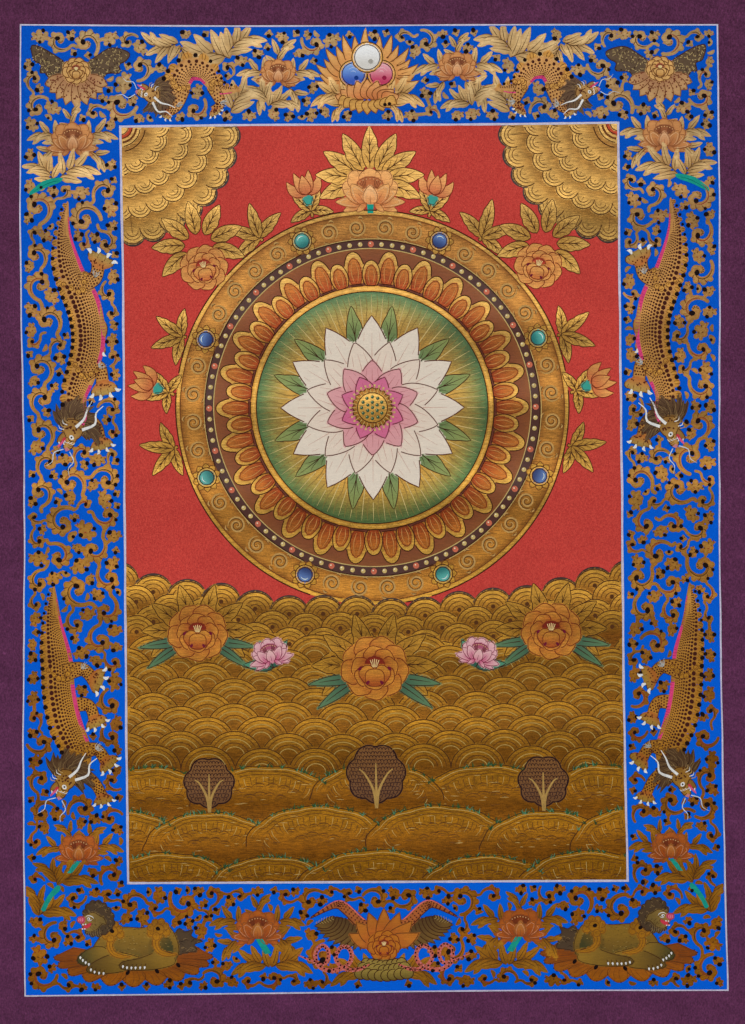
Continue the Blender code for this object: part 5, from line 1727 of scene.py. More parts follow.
def corner_fan(field, ink, x, y, sx, rng):
    """A quarter of a big many-petalled rosette in gold, set into an upper corner."""
    m = Motif()
    quarter = math.pi / 2
    dark = (0.025, 0.010, 0.008)
    rows = ((118, 90, 8, 0.0), (94, 66, 7, 0.5), (72, 44, 6, 0.0), (49, 20, 4, 0.5))
    for r1, r0, n, off in rows:
        for i in range(-1, n + 1):
            a = quarter * (i + 0.5 + off) / n
            w = r1 * quarter / n * 0.56
            c = (r1 - w, a)
            t = np.linspace(-1.75, 1.75, 15)
            arc = np.stack([w * np.sin(t), -(r1 - w) - w * np.cos(t)], 1)
            P = np.vstack([arc, [(w * 0.7, -r0 + 10), (-w * 0.7, -r0 + 10)]])
            P = turn(P, math.pi - a) * (1, 1)
            if r1 == 118:
                m.shape(turn(np.vstack([arc * 1.0 + (0, -3.0), [(w * 0.7, -r0 + 10), (-w * 0.7, -r0 + 10)]]), math.pi - a), dark, 0.0, None, 0)
            tip = turn([(0, -r1)], math.pi - a)[0]
            root = turn([(0, -r0)], math.pi - a)[0]
            m.shape(P, (0.260, 0.145, 0.032), 1.0, (0.09, 0.035, 0.012), 1.0, shaded=(root, tip, (0.560, 0.400, 0.130)))
            for q in (0.72, 0.46):
                tt = np.linspace(-1.6, 1.6, 11)
                p = np.stack([q * w * np.sin(tt), -(r1 - w) - q * w * np.cos(tt)], 1)
                m.line(turn(p, math.pi - a), 0.8, (0.13, 0.055, 0.018), 2, (0.2, 0.2))
            p = turn(np.array([(0, -(r1 - w) - 0.3 * w), (0.4, -(r1 - w)), (0, -r0 - 2)]), math.pi - a)
            m.line(p, 0.8, (0.13, 0.055, 0.018), 2, (0.2, 0.6))
    t = np.linspace(0, 2 * math.pi, 40, endpoint=False)
    for r, c, w in ((25, (0.30, 0.17, 0.04), 1.0), (20, (0.56, 0.40, 0.13), 0.9), (12, (0.36, 0.05, 0.02), 0.9), (8, (0.58, 0.42, 0.15), 0.8)):
        m.shape(np.stack([np.cos(t), np.sin(t)], 1) * r, c, 0.9, INK, w)
    for k in range(12):
        a = quarter * (k + 0.5) / 12
        m.dot(16 * math.sin(a), 16 * math.cos(a), 1.3, INK_SOFT, 3, 7)
    m.stamp(field, ink, x, y, 1.0, 0.0, mirror=sx < 0)


def crest(x):
    """Height of the top of the gold water."""
    u = (x - MX) / 249.0
    return 606 - 34 * u * u + 5 * math.sin(x * 0.05) * 0.4


def ground_shapes(base, field, ink, rng):
    """The gold lower part: bank of foam and rows of waves."""
    def tone(y):
        t = float(np.clip((y - 600) / 280, 0, 1))
        return mix((0.400, 0.245, 0.050), (0.350, 0.185, 0.027), t)

    xs = np.linspace(IX0, IX1, 60)
    top = np.array([(x, crest(x)) for x in xs])
    poly = np.vstack([top, [(IX1, IY1), (IX0, IY1)]])
    def paint(X, Y, d):
        t = np.clip((Y - 600) / 280, 0, 1)[..., None]
        a = np.asarray((0.400, 0.245, 0.050)) * (1 - t) + np.asarray((0.350, 0.185, 0.027)) * t
        return a
    base.poly(poly, paint, 1.0)
    # rolling crest: big scallops with a dark edge and foam rims
    m = Motif()
    n = 15
    for row in range(4):
        for i in range(n + 1):
            x = IX0 - 6 + (IX1 - IX0 + 12) * (i + (0.5 if row % 2 else 0)) / n
            y = crest(x) + 12 + 15 * row
            w = 19.5
            t = np.linspace(math.pi, 2 * math.pi, 17)
            arc = np.stack([x + w * np.cos(t), y + w * 0.95 * np.sin(t)], 1)
            if row == 0:
                m.shape(np.vstack([arc + (0, -2.6), [(x + w, y + 10), (x - w, y + 10)]]), (0.030, 0.011, 0.008), 0.0, None, 0)
            m.shape(np.vstack([arc, [(x + w, y + 20), (x - w, y + 20)]]), (0.235, 0.105, 0.018), 1.0, None, 0,
                    shaded=((x, y + 8), (x, y - w), (0.540, 0.360, 0.100)))
            m.line(arc, 1.0, (0.085, 0.030, 0.010), 2, None)
            for q in (0.78, 0.56, 0.34):
                m.line(np.stack([x + w * q * np.cos(t), y + w * 0.95 * q * np.sin(t)], 1), 0.8, (0.115, 0.042, 0.012), 2, (0.1, 0.1))
            m.dot(x, y - 2.2, 2.2, (0.10, 0.035, 0.010), 3, 9)
    m.stamp(field, ink)
    # waves
    rows = 9
    for row in range(rows):
        y0 = 634 + 14.0 * row
        m = Motif()
        w = 27.0
        count = int((IX1 - IX0) / (2 * w)) + 2
        for i in range(count + 1):
            x = IX0 + 2 * w * (i - 0.5 + (0.5 if row % 2 else 0))
            y = y0 + 24 + 2.2 * math.sin(0.021 * x + row)
            t = np.linspace(math.pi, 2 * math.pi, 21)
            arc = np.stack([x + w * np.cos(t), y + 24 * np.sin(t)], 1)
            c0 = tone(y0)
            m.shape(np.vstack([arc, [(x + w, y + 22), (x - w, y + 22)]]), mix(c0, (0.12, 0.035, 0.008), 0.55), 1.0, None, 0,
                    shaded=((x, y), (x, y - 24), mix(c0, (0.66, 0.46, 0.14), 0.22)))
            m.line(arc, 0.95, (0.075, 0.026, 0.008), 2, None)
            for k, q in enumerate((0.84, 0.68, 0.52, 0.36)):
                m.line(np.stack([x + w * q * np.cos(t), y + 24 * q * np.sin(t)], 1), 0.75, (0.105, 0.038, 0.010) if k % 2 == 0 else (0.46, 0.30, 0.075), 2, (0.1, 0.1))
        m.stamp(field, ink)


def mounds(field, ink, rng):
    """Rounded banks at the foot, with streaks, grass along their rims and round bushes."""
    rows = (
        ((150, 812, 62, 46), (262, 806, 74, 40), (486, 806, 74, 40), (598, 812, 62, 46), (373, 800, 66, 36)),
        ((122, 852, 60, 42), (206, 850, 66, 38), (314, 846, 72, 40), (434, 846, 72, 40), (542, 850, 66, 38), (626, 852, 60, 42)),
        ((164, 894, 74, 42), (268, 892, 66, 36), (373, 896, 84, 46), (480, 892, 66, 36), (584, 894, 74, 42)),
    )
    for depth, row in enumerate(rows):
        m = Motif()
        for cx, cy, w, h in row:
            t = np.linspace(math.pi, 2 * math.pi, 26)
            bumpy = 1 + 0.035 * np.abs(np.sin(5.0 * t + cx)) - 0.01
            arc = np.stack([cx + w * np.cos(t) * bumpy, cy + h * np.sin(t) * bumpy], 1)
            P = np.vstack([arc, [(cx + w, cy + 40), (cx - w, cy + 40)]])
            light, dark = (0.415, 0.245, 0.040), (0.250, 0.116, 0.015)
            m.shape(P, dark, 1.0, None, 0, shaded=((cx, cy + 4), (cx, cy - h), light))
            m.line(arc, 1.0, (0.075, 0.026, 0.008), 2, None)
            for q, tint in ((0.93, (0.56, 0.37, 0.11)), (0.87, (0.105, 0.038, 0.011)), (0.79, (0.120, 0.046, 0.013))):
                b = 1 + 0.05 * np.abs(np.sin(5.0 * t + cx + 1.2 * (1 - q))) - 0.015
                m.line(np.stack([cx + w * q * np.cos(t) * b, cy + h * q * np.sin(t) * b], 1)[2:-2], 0.6, tint, 2, (0.2, 0.2))
            for k in range(30):
                u = math.cos(math.pi * (k + 0.5 + rng.uniform(-0.2, 0.2)) / 30)
                x, y = cx + u * w * 0.77, cy - h * 0.77 * math.sqrt(max(1 - u * u, 0)) + 1
                L = h * rng.uniform(0.14, 0.30)
                p = np.array([(x, y), (x - u * 0.25 * L, y + 0.5 * L), (x - u * 0.85 * L, y + L)])
                m.line(curve(p, 5), 0.65, (0.120, 0.044, 0.012) if k % 3 else (0.52, 0.34, 0.10), 2, (0.0, 0.8))
            for q in (0.56, 0.34):
                count = 6 if q > 0.5 else 4
                for k in range(count):
                    u = -0.82 + 1.64 * (k + 0.5 + rng.uniform(-0.15, 0.15)) / count
                    x, y = cx + u * w * q, cy - h * q * math.sqrt(max(1 - u * u, 0)) + 3
                    r = rng.uniform(4.5, 7.5)
                    e = np.linspace(math.pi * 1.05, math.pi * 1.95, 8)
                    m.line(np.stack([x + r * np.cos(e), y + r * 0.62 * np.sin(e)], 1), 0.75, (0.105, 0.036, 0.010), 2)
                    m.line(np.stack([x + r * 0.6 * np.cos(e[1:-1]), y + 1 + r * 0.36 * np.sin(e[1:-1])], 1), 0.6, (0.135, 0.050, 0.014), 2)
            for k in range(34):
                u, v = rng.uniform(-0.85, 0.85), rng.uniform(0.05, 0.85)
                x, y = cx + u * w, cy - h * v * math.sqrt(max(1 - u * u, 0)) + 2
                r = rng.uniform(1.6, 4.6)
                m.line([(x - r, y + rng.uniform(-0.4, 0.4)), (x, y - 0.2), (x + r, y + rng.uniform(-0.4, 0.4))], 0.6, (0.150, 0.060, 0.016) if rng.random() < 0.6 else (0.58, 0.39, 0.12), 2, (0.4, 0.4))
        m.stamp(field, ink)
        # grass along the rims
        g = Motif()
        for cx, cy, w, h in row:
            for k in range(26):
                u = -0.86 + 1.72 * rng.uniform(0, 1)
                x, y = cx + u * w, cy - h * math.sqrt(max(1 - u * u, 0)) + 1.0
                for _ in range(3):
                    a = rng.uniform(-1.1, 1.1)
                    L = rng.uniform(2.6, 6.4)
                    e = turn([(0, -L)], a)[0]
                    g.line(curve([(x, y), (x + e[0] * 0.4, y + e[1] * 0.6), (x + e[0], y + e[1])], 4), rng.uniform(0.7, 1.15),
                           mix(GRASS, (0.02, 0.05, 0.02), rng.uniform(0, 1)) if rng.random() < 0.75 else (0.10, 0.26, 0.14), 3, (0, 0.7))
        g.stamp(field, ink)
        if depth == 0:
            for cx, cy, r in ((206, 786, 23), (540, 786, 23), (373, 778, 27)):
                bush(field, ink, cx, cy, r, rng)


def bush(field, ink, x, y, r, rng):
    """A round dark bush of many tiny leaves on a pale branching stem."""
    m = Motif()
    t = np.linspace(0, 2 * math.pi, 91, endpoint=True)[:-1]
    crown = lambda a: r * (0.98 + 0.13 * np.abs(np.cos(3.5 * (a - math.pi / 2))) + 0.10 * np.sin(a - math.pi) ** 3)
    rr = crown(t)
    edge = np.stack([np.cos(t) * rr, np.sin(t) * rr - 2], 1)
    m.shape(edge, (0.150, 0.062, 0.018), 0.25, None, 0, shaded=((0, r), (0, -r), (0.235, 0.105, 0.028)))
    m.line(np.vstack([edge, edge[:1]]), 1.3, (0.022, 0.008, 0.010), 2, None)
    rows = int(r / 1.55)
    for j in range(rows):
        for i in range(-12, 13):
            bx = (i + (0.5 if j % 2 else 0)) * 3.3 + rng.uniform(-0.5, 0.5)
            by = -1.22 * r + 2.44 * r * (j + 0.5) / rows + rng.uniform(-0.4, 0.4)
            if math.hypot(bx, by) > crown(math.atan2(by, bx)) - 1.6:
                continue
            a = math.atan2(bx, -(by - 0.9 * r))
            m.line(turn([(-1.7, 0.9), (-1.1, -0.7), (0, -1.5), (1.1, -0.7), (1.7, 0.9)], a) + (bx, by - 2), 0.7, (0.030, 0.009, 0.012), 2, None)
    for s in (-1, 0, 1):
        p = curve([(0, r * 1.12), (0.10 * s * r, r * 0.45), (0.42 * s * r, -0.15 * r), (0.62 * s * r, -0.55 * r + 6 * abs(s))], 10)
        m.line(p, np.linspace(3.2, 1.0, 10), (0.46, 0.27, 0.065), 3, None)
    m.stamp(field, ink, x, y)


def bank_flowers(field, ink, rng):
    """Three flowers with dark leaves that stand in the waves."""
    for x, y, s, mir in ((196, 632, 31, False), (550, 632, 31, True), (373, 668, 35, False)):
        m = Motif()
        for k in range(8):
            u = (k - 3.5) / 3.5
            a = 1.95 * u
            acanthus(m, (0.50 * s * math.sin(a), -0.2 * s * math.cos(a)), a, s * (1.45 - 0.18 * abs(u)), s * 0.27, 0.22 * u, rng,
                     (0.300, 0.165, 0.034), (0.470, 0.310, 0.085), INK, 0.9)
        for a in (-116, -88, 88, 116):
            leaf(m, (0.4 * s * math.copysign(1, a), 0.30 * s), math.radians(a), s * 1.5, s * 0.16, 0.15 * math.copysign(1, a), 0, (0.020, 0.085, 0.045), (0.10, 0.21, 0.09), 0.0, INK, 0.7)
        peony(m, s, (0.62, 0.33, 0.10), (0.40, 0.105, 0.030), (0.16, 0.025, 0.010), (0.26, 0.025, 0.015))
        m.stamp(field, ink, x, y, 1.0, 0.0, mir)
    for x, y, a in ((268, 652, -0.25), (478, 652, 0.25)):
        m = Motif()
        for k in range(3):
            leaf(m, (0, 16), math.radians(-44 + 44 * k) + a, 30, 5.6, 0.2 * (k - 1), 0, (0.015, 0.10, 0.06), (0.07, 0.28, 0.16), 0.0, INK, 0.8)
        lotus(m, 19, (0.80, 0.45, 0.47), (0.60, 0.10, 0.22), (0.22, 0.02, 0.05), metal=0.0)
        m.stamp(field, ink, x, y, 1.0, a)


def paint_panel(seed=23):
    rng = np.random.default_rng(seed)
    base = Field(IX0, IY0 + 420, IX1, IY1, 2.5)
    field = Field(IX0, IY0, IX1, IY1, 1.25)
    ink = Ink()
    rings = []
    corner_fan(field, ink, IX0, IY0, 1, rng)
    corner_fan(field, ink, IX1, IY0, -1, rng)
    medallion(field, ink, rings, rng)
    around(field, ink, rng)
    ground_shapes(base, field, ink, rng)
    bank_flowers(field, ink, rng)
    mounds(field, ink, rng)
    X, Y = np.meshgrid(field.xs, field.ys)
    rim = np.minimum(np.minimum(X - IX0, IX1 - X), np.minimum(Y - IY0, IY1 - Y)) - 0.9
    field.f = np.minimum(field.f, rim)
    X, Y = np.meshgrid(base.xs, base.ys)
    base.f = np.minimum(base.f, np.minimum(np.minimum(X - IX0, IX1 - X), IY1 - Y) - 0.9)

    def allowed(p):
        x, y = p[:, 0], p[:, 1]
        return np.minimum(np.minimum(x - IX0, IX1 - x), np.minimum(y - IY0, IY1 - y)) > 1.2

    ink.items = trimmed(ink.items, allowed)
    return base, field, rings, ink
# ---------------------------------------------------------------- from the flat design to the hanging cloth

DOT = 0.0008                 # one dot of the design, in metres
X_ZERO, Y_ZERO = 369.5, -18.0
THICKNESS = 0.0012
TOP_WIDTH, BOTTOM_WIDTH = 0.6248, 0.6300
LEFT_HEIGHT, RIGHT_HEIGHT = 0.8472, 0.8432
BOTTOM_DRIFT = 0.0058
EDGE_BULGES = (              # edge, where along it, out in mm, half width
    ("left", 0.24, 0.8, 0.13), ("left", 0.50, -1.3, 0.12), ("left", 0.76, 0.6, 0.12),
    ("right", 0.50, -2.4, 0.16), ("right", 0.74, -2.0, 0.13),
    ("top", 0.36, -0.7, 0.14), ("bottom", 0.66, -1.4, 0.16),
)
SWELLS = (                   # below top, right drop, out, half width (mm), strength at the left, at the right
    (70, 12, 0.7, 17, 1.0, 0.8), (188, -14, 1.5, 25, 1.0, 1.0), (278, -10, 1.4, 19, 1.0, 1.1), (342, -8, 1.3, 15, 1.0, 0.9),
    (417, -11, 1.5, 18, 1.0, 1.2), (492, 13, 1.3, 17, 1.1, 0.9), (536, 2, 0.6, 9, 0.6, 1.0), (607, -7, 1.5, 21, 1.0, 0.9),
    (648, 8, 0.5, 9, 0.9, 0.8), (697, -9, 1.2, 18, 1.0, 1.0), (786, 8, 1.3, 22, 1.0, 1.1),
)


def bump(d, w):
    return np.exp(-((d / w) ** 2))


def edge_out(edge, at):
    return 0.001 * sum(out * bump(at - a, w) for e, a, out, w in EDGE_BULGES if e == edge)


def outline_point(s, t):
    """The same outline as the CAD sheet: shares across and down to x and z."""
    left = -TOP_WIDTH / 2 + t * (BOTTOM_DRIFT - (BOTTOM_WIDTH - TOP_WIDTH) / 2) - edge_out("left", t)
    right = TOP_WIDTH / 2 + t * (BOTTOM_DRIFT + (BOTTOM_WIDTH - TOP_WIDTH) / 2) + edge_out("right", t)
    height = LEFT_HEIGHT + s * (RIGHT_HEIGHT - LEFT_HEIGHT)
    return left + s * (right - left), (1 - t) * edge_out("top", s) - t * height - t * edge_out("bottom", s)


def stand_out(x, z):
    """How far the cloth stands towards the viewer; the swells here are fuller than those of the CAD sheet."""
    s = np.clip(x / 0.627 + 0.5, 0, 1)
    total = np.zeros_like(x)
    for below, drop, out, half, a, b in SWELLS:
        total += out * (a + s * (b - a)) * bump(z / 0.001 + below + s * drop, half)
    return total * 0.0020


def through(v, at, values):
    """A smooth curve through a short table."""
    at, values = np.asarray(at, float), np.asarray(values, float)
    slope = np.gradient(values, at)
    k = np.clip(np.searchsorted(at, v) - 1, 0, len(at) - 2)
    h = at[k + 1] - at[k]
    u = np.clip((v - at[k]) / h, 0, 1)
    return ((2 * u**3 - 3 * u**2 + 1) * values[k] + (u**3 - 2 * u**2 + u) * h * slope[k]
            + (3 * u**2 - 2 * u**3) * values[k + 1] + (u**3 - u**2) * h * slope[k + 1])


# How far the hand-ruled lines drift from straight, in dots: place along the line, drift.
RULED_DOWN = {
    OX0: ((25, -1.3), (250, -1.2), (500, 2.7), (750, 1.6), (995, 3.5)),
    IX0: ((127, -3.6), (250, -1.2), (500, 0.8), (750, 2.8), (883, 4.4)),
    IX1: ((123, -3.9), (250, -3.0), (500, -0.2), (750, 2.5), (880, 5.5)),
    OX1: ((25, -4.8), (250, -2.7), (500, -3.0), (750, 0.0), (989, 5.3)),
}
RULED_ACROSS = {
    OY0: ((20, 0.0), (250, 1.3), (500, 0.0), (717, 0.0)),
    IY0: ((120, 1.8), (250, 0.2), (500, -0.6), (618, -2.2)),
    IY1: ((128, 0.9), (250, 0.4), (500, -0.9), (627, -1.5)),
    OY1: ((25, 3.6), (250, 1.0), (500, -2.0), (727, -2.5)),
}
LEFT_EDGE, RIGHT_EDGE, TOP_EDGE, BOTTOM_EDGE = -21.0, 760.0, -18.0, 1038.5


def drift(v, along, lines, edges):
    """Drift at v, between the two lines beside it. along: place along those lines."""
    keys = sorted(lines)
    knots = [edges[0][0]] + keys + [edges[1][0]]
    table = [edges[0][1](along)] + [through(along, *zip(*lines[k])) for k in keys] + [edges[1][1](along)]
    out = np.zeros_like(v)
    for (a, fa), (b, fb) in zip(zip(knots[:-1], table[:-1]), zip(knots[1:], table[1:])):
        m = (v >= a) & (v <= b)
        u = (v - a) / (b - a)
        out = np.where(m, fa * (1 - u) + fb * u, out)
    out = np.where(v < knots[0], table[0], out)
    return np.where(v > knots[-1], table[-1], out)


def place(points, off=0.0):
    """Design points to the front of the hanging cloth, off metres in front of it."""
    p = np.asarray(points, float)
    x, y = p[:, 0], p[:, 1]
    down = np.clip((y - TOP_EDGE) / (BOTTOM_EDGE - TOP_EDGE), 0, 1)
    across = np.clip((x - LEFT_EDGE) / (RIGHT_EDGE - LEFT_EDGE), 0, 1)

    def left_edge(_):
        return outline_point(0.0, down)[0] / DOT + X_ZERO - LEFT_EDGE

    def right_edge(_):
        return outline_point(1.0, down)[0] / DOT + X_ZERO - RIGHT_EDGE

    def top_edge(_):
        return -outline_point(across, 0.0)[1] / DOT + Y_ZERO - TOP_EDGE

    def bottom_edge(_):
        return -outline_point(across, 1.0)[1] / DOT + Y_ZERO - BOTTOM_EDGE

    px = x + drift(x, y, RULED_DOWN, ((LEFT_EDGE, left_edge), (RIGHT_EDGE, right_edge)))
    py = y + drift(y, x, RULED_ACROSS, ((TOP_EDGE, top_edge), (BOTTOM_EDGE, bottom_edge)))
    X, Z = (px - X_ZERO) * DOT, -(py - Y_ZERO) * DOT
    return np.stack([X, -stand_out(X, Z) - THICKNESS / 2 - off, Z], 1)


# ---------------------------------------------------------------- meshes

def make_piece(name, verts, faces, colours, material):
    me = bpy.data.meshes.new(name)
    flat = [f for group in faces for f in group.tolist()] if not isinstance(faces[0], list) else faces
    me.from_pydata(verts.tolist(), [], flat)
    if colours is not None:
        layer = me.color_attributes.new(name="tone", type="FLOAT_COLOR", domain="POINT")
        layer.data.foreach_set("color", np.ascontiguousarray(colours, dtype=np.float32).ravel())
    co = verts
    uv = me.uv_layers.new(name="OFBake")
    index = np.empty(len(me.loops), dtype=np.int32)
    me.loops.foreach_get("vertex_index", index)
    lo, hi = co.min(0), co.max(0)
    span = max(hi[0] - lo[0], hi[2] - lo[2])
    st = np.stack([(co[:, 0] - lo[0]) / span, (co[:, 2] - lo[2]) / span], 1) * 0.996 + 0.002
    uv.data.foreach_set("uv", st[index].astype(np.float32).ravel())
    me.update()
    me.shade_smooth()
    me.materials.append(material)
    ob = bpy.data.objects.new(name, me)
    bpy.context.scene.collection.objects.link(ob)
    return ob


def facing(pts, faces):
    """Faces turned so that their painted side looks at the viewer."""
    out = []
    for f in faces:
        if not len(f):
            continue
        P = pts[f]
        Q = np.roll(P, -1, 1)
        area = (P[..., 0] * Q[..., 1] - Q[..., 0] * P[..., 1]).sum(1)
        g = f.copy()
        g[area > 0] = g[area > 0][:, ::-1]
        out.append(g)
    return out


GRADE_TOP, GRADE_FOOT = (0.80, 0.66, 0.56), (0.76, 0.55, 0.10)


def painted_shade_down(pts, cols):
    """Gold that darkens towards the foot of the painting, painted shade for the light falling off lower down, and
    reddens there.
    """
    t = np.clip((pts[:, 1] - 125) / 700, 0, 1)[:, None]
    shade = np.array(GRADE_TOP) * (1 - t) + np.array(GRADE_FOOT) * t
    out = cols.copy()
    out[:, :3] *= 1 + (shade - 1) * np.clip(cols[:, 3:4] * 1.5, 0, 1)
    return out


def keep_faces(pts, faces, cols, test):
    """The part of a mesh whose face middles pass a test, with its own vertices."""
    used = np.zeros(len(pts), bool)
    kept = []
    for f in faces:
        m = pts[f].mean(1)
        g = f[test(m[:, 0], m[:, 1])]
        if len(g):
            kept.append(g)
            used[g.ravel()] = True
    new = np.cumsum(used) - 1
    return pts[used], [new[g] for g in kept], cols[used]


def ribbons(items):
    """Brush lines and touches of colour as one mesh: points, faces, colours, height of each point."""
    pts, faces, cols, high = [], {}, [], []
    n = 0
    for kind, p, w, colour, height in items:
        if kind == "line":
            step = np.hypot(*np.diff(p, axis=0).T)
            if step.max() > 4.5:
                s = np.concatenate([[0], np.cumsum(step)])
                t = np.linspace(0, s[-1], max(len(p), int(s[-1] / 3.5) + 2))
                w = np.interp(t, s, w)
                p = np.stack([np.interp(t, s, p[:, 0]), np.interp(t, s, p[:, 1])], 1)
            nr = normals(p)
            k = len(p)
            v = np.vstack([p + nr * w[:, None], p - nr * w[:, None]])
            i = np.arange(k - 1)
            q = np.stack([i, i + 1, i + 1 + k, i + k], 1)
        else:
            keep = np.hypot(*(p - np.roll(p, 1, 0)).T) > 1e-4
            v = p[keep]
            k = len(v)
            if k < 3:
                continue
            q = np.arange(k)[None]
        faces.setdefault(q.shape[1], []).append(q + n)
        pts.append(v)
        cols.append(np.tile(np.array(colour + (0.0,)), (len(v), 1)))
        high.append(np.full(len(v), height, float))
        n += len(v)
    P = np.vstack(pts)
    F = facing(P, [np.vstack(f) for f in faces.values()])
    return P, F, np.vstack(cols), np.concatenate(high)


# ---------------------------------------------------------------- materials

class Nodes:
    """A small hand for building node trees."""

    def __init__(self, name):
        self.mat = bpy.data.materials.new(name)
        self.mat.use_nodes = True
        self.tree = self.mat.node_tree
        self.shader = self.tree.nodes["Principled BSDF"]
        self.coord = self.tree.nodes.new("ShaderNodeTexCoord")

    def add(self, kind, **values):
        node = self.tree.nodes.new(kind)
        for k, v in values.items():
            if k in node.inputs:
                node.inputs[k].default_value = v
            else:
                setattr(node, k, v)
        return node

    def link(self, a, b):
        self.tree.links.new(a, b)

    def noise(self, scale, stretch=(1, 1, 1), detail=3.0, rough=0.55, turn=(0.0, 0.0, 0.0)):
        m = self.add("ShaderNodeMapping")
        m.inputs["Scale"].default_value = stretch
        m.inputs["Rotation"].default_value = turn
        self.link(self.coord.outputs["Object"], m.inputs["Vector"])
        n = self.add("ShaderNodeTexNoise")
        n.inputs["Scale"].default_value = scale
        n.inputs["Detail"].default_value = detail
        n.inputs["Roughness"].default_value = rough
        self.link(m.outputs["Vector"], n.inputs["Vector"])
        return n.outputs["Fac"]

    def spread(self, value, a, b, c, d):
        """value from a..b to c..d."""
        n = self.add("ShaderNodeMapRange")
        for k, v in zip(("From Min", "From Max", "To Min", "To Max"), (a, b, c, d)):
            n.inputs[k].default_value = v
        self.link(value, n.inputs["Value"])
        return n.outputs["Result"]

    def math(self, op, a, b):
        n = self.add("ShaderNodeMath", operation=op)
        for k, v in enumerate((a, b)):
            if hasattr(v, "is_linked") or hasattr(v, "links"):
                self.link(v, n.inputs[k])
            else:
                n.inputs[k].default_value = v
        return n.outputs["Value"]

    def times(self, colour, value):
        """A colour made lighter or darker by a value."""
        n = self.add("ShaderNodeVectorMath", operation="SCALE")
        self.link(colour, n.inputs[0])
        self.link(value, n.inputs["Scale"])
        return n.outputs["Vector"]

    def two(self, a, b, value):
        """Between colours a and b."""
        n = self.add("ShaderNodeMix", data_type="RGBA")
        for sock, v in ((n.inputs[6], a), (n.inputs[7], b)):
            if isinstance(v, tuple):
                sock.default_value = v + (1.0,)
            else:
                self.link(v, sock)
        self.link(value, n.inputs[0])
        return n.outputs[2]

    def height(self, value, strength, distance):
        n = self.add("ShaderNodeBump")
        n.inputs["Strength"].default_value = strength
        n.inputs["Distance"].default_value = distance
        self.link(value, n.inputs["Height"])
        self.link(n.outputs["Normal"], self.shader.inputs["Normal"])
        return n

    def set(self, **values):
        for k, v in values.items():
            self.shader.inputs[k.replace("_", " ")].default_value = v
        return self


def weave(k):
    """Fine uneven grain of a primed canvas: level and upright threads under the paint."""
    across = k.noise(1150.0, (1.0, 1.0, 0.42), 2.0, 0.5)
    down = k.noise(1150.0, (0.42, 1.0, 1.0), 2.0, 0.5)
    return k.math("ADD", across, down)


def paint_material(name, dark, light, rough=0.78, foot=None, mottle=0.0, gloss=0.12):
    """Matt paint on canvas: two close tones and a woven grain; mottle adds uneven thread, patches and rubbed flecks;
    foot lightens the paint towards the foot of the sheet, painted light for the light being brighter lower down.
    """
    k = Nodes(name)
    g = weave(k)
    fine = k.noise(1700.0, (1, 1, 1), 2.0, 0.6)
    cloud = k.noise(11.0, (1, 1, 1), 3.0, 0.5)
    a = k.spread(g, 0.74, 1.26, 0.18, 0.82)
    b = k.spread(fine, 0.3, 0.7, -0.5, 0.5)
    m = k.math("ADD", a, b)
    col = k.two(dark, light, m)
    col = k.times(col, k.spread(cloud, 0.3, 0.7, 0.94, 1.06))
    # lighter towards the foot: painted light for the light being brighter lower down
    if foot is not None:
        sep = k.add("ShaderNodeSeparateXYZ")
        k.link(k.coord.outputs["Object"], sep.inputs[0])
        low = k.spread(sep.outputs["Z"], -0.12, -0.70, 0.0, 1.0)
        col = k.times(k.two(col, foot, k.math("MULTIPLY", low, 0.55)), k.spread(low, 0.0, 1.0, 1.0, 1.0))
    if mottle:
        thread = k.noise(880.0, (1.0, 1.0, 0.6), 2.0, 0.6)
        patch = k.noise(44.0, (0.7, 1.0, 1.3), 3.0, 0.6)
        rub = k.noise(310.0, (1.0, 1.0, 0.8), 1.0, 0.5)
        col = k.times(col, k.spread(thread, 0.32, 0.68, 1 - mottle, 1 + mottle))
        col = k.times(col, k.spread(patch, 0.32, 0.68, 1 - 0.45 * mottle, 1 + 0.45 * mottle))
        col = k.times(col, k.spread(rub, 0.70, 0.77, 1.0, 1 + mottle))
    k.link(col, k.shader.inputs["Base Color"])
    k.set(Roughness=rough)
    k.shader.inputs["Specular IOR Level"].default_value = gloss
    k.height(m, 0.22, 0.00016)
    return k.mat


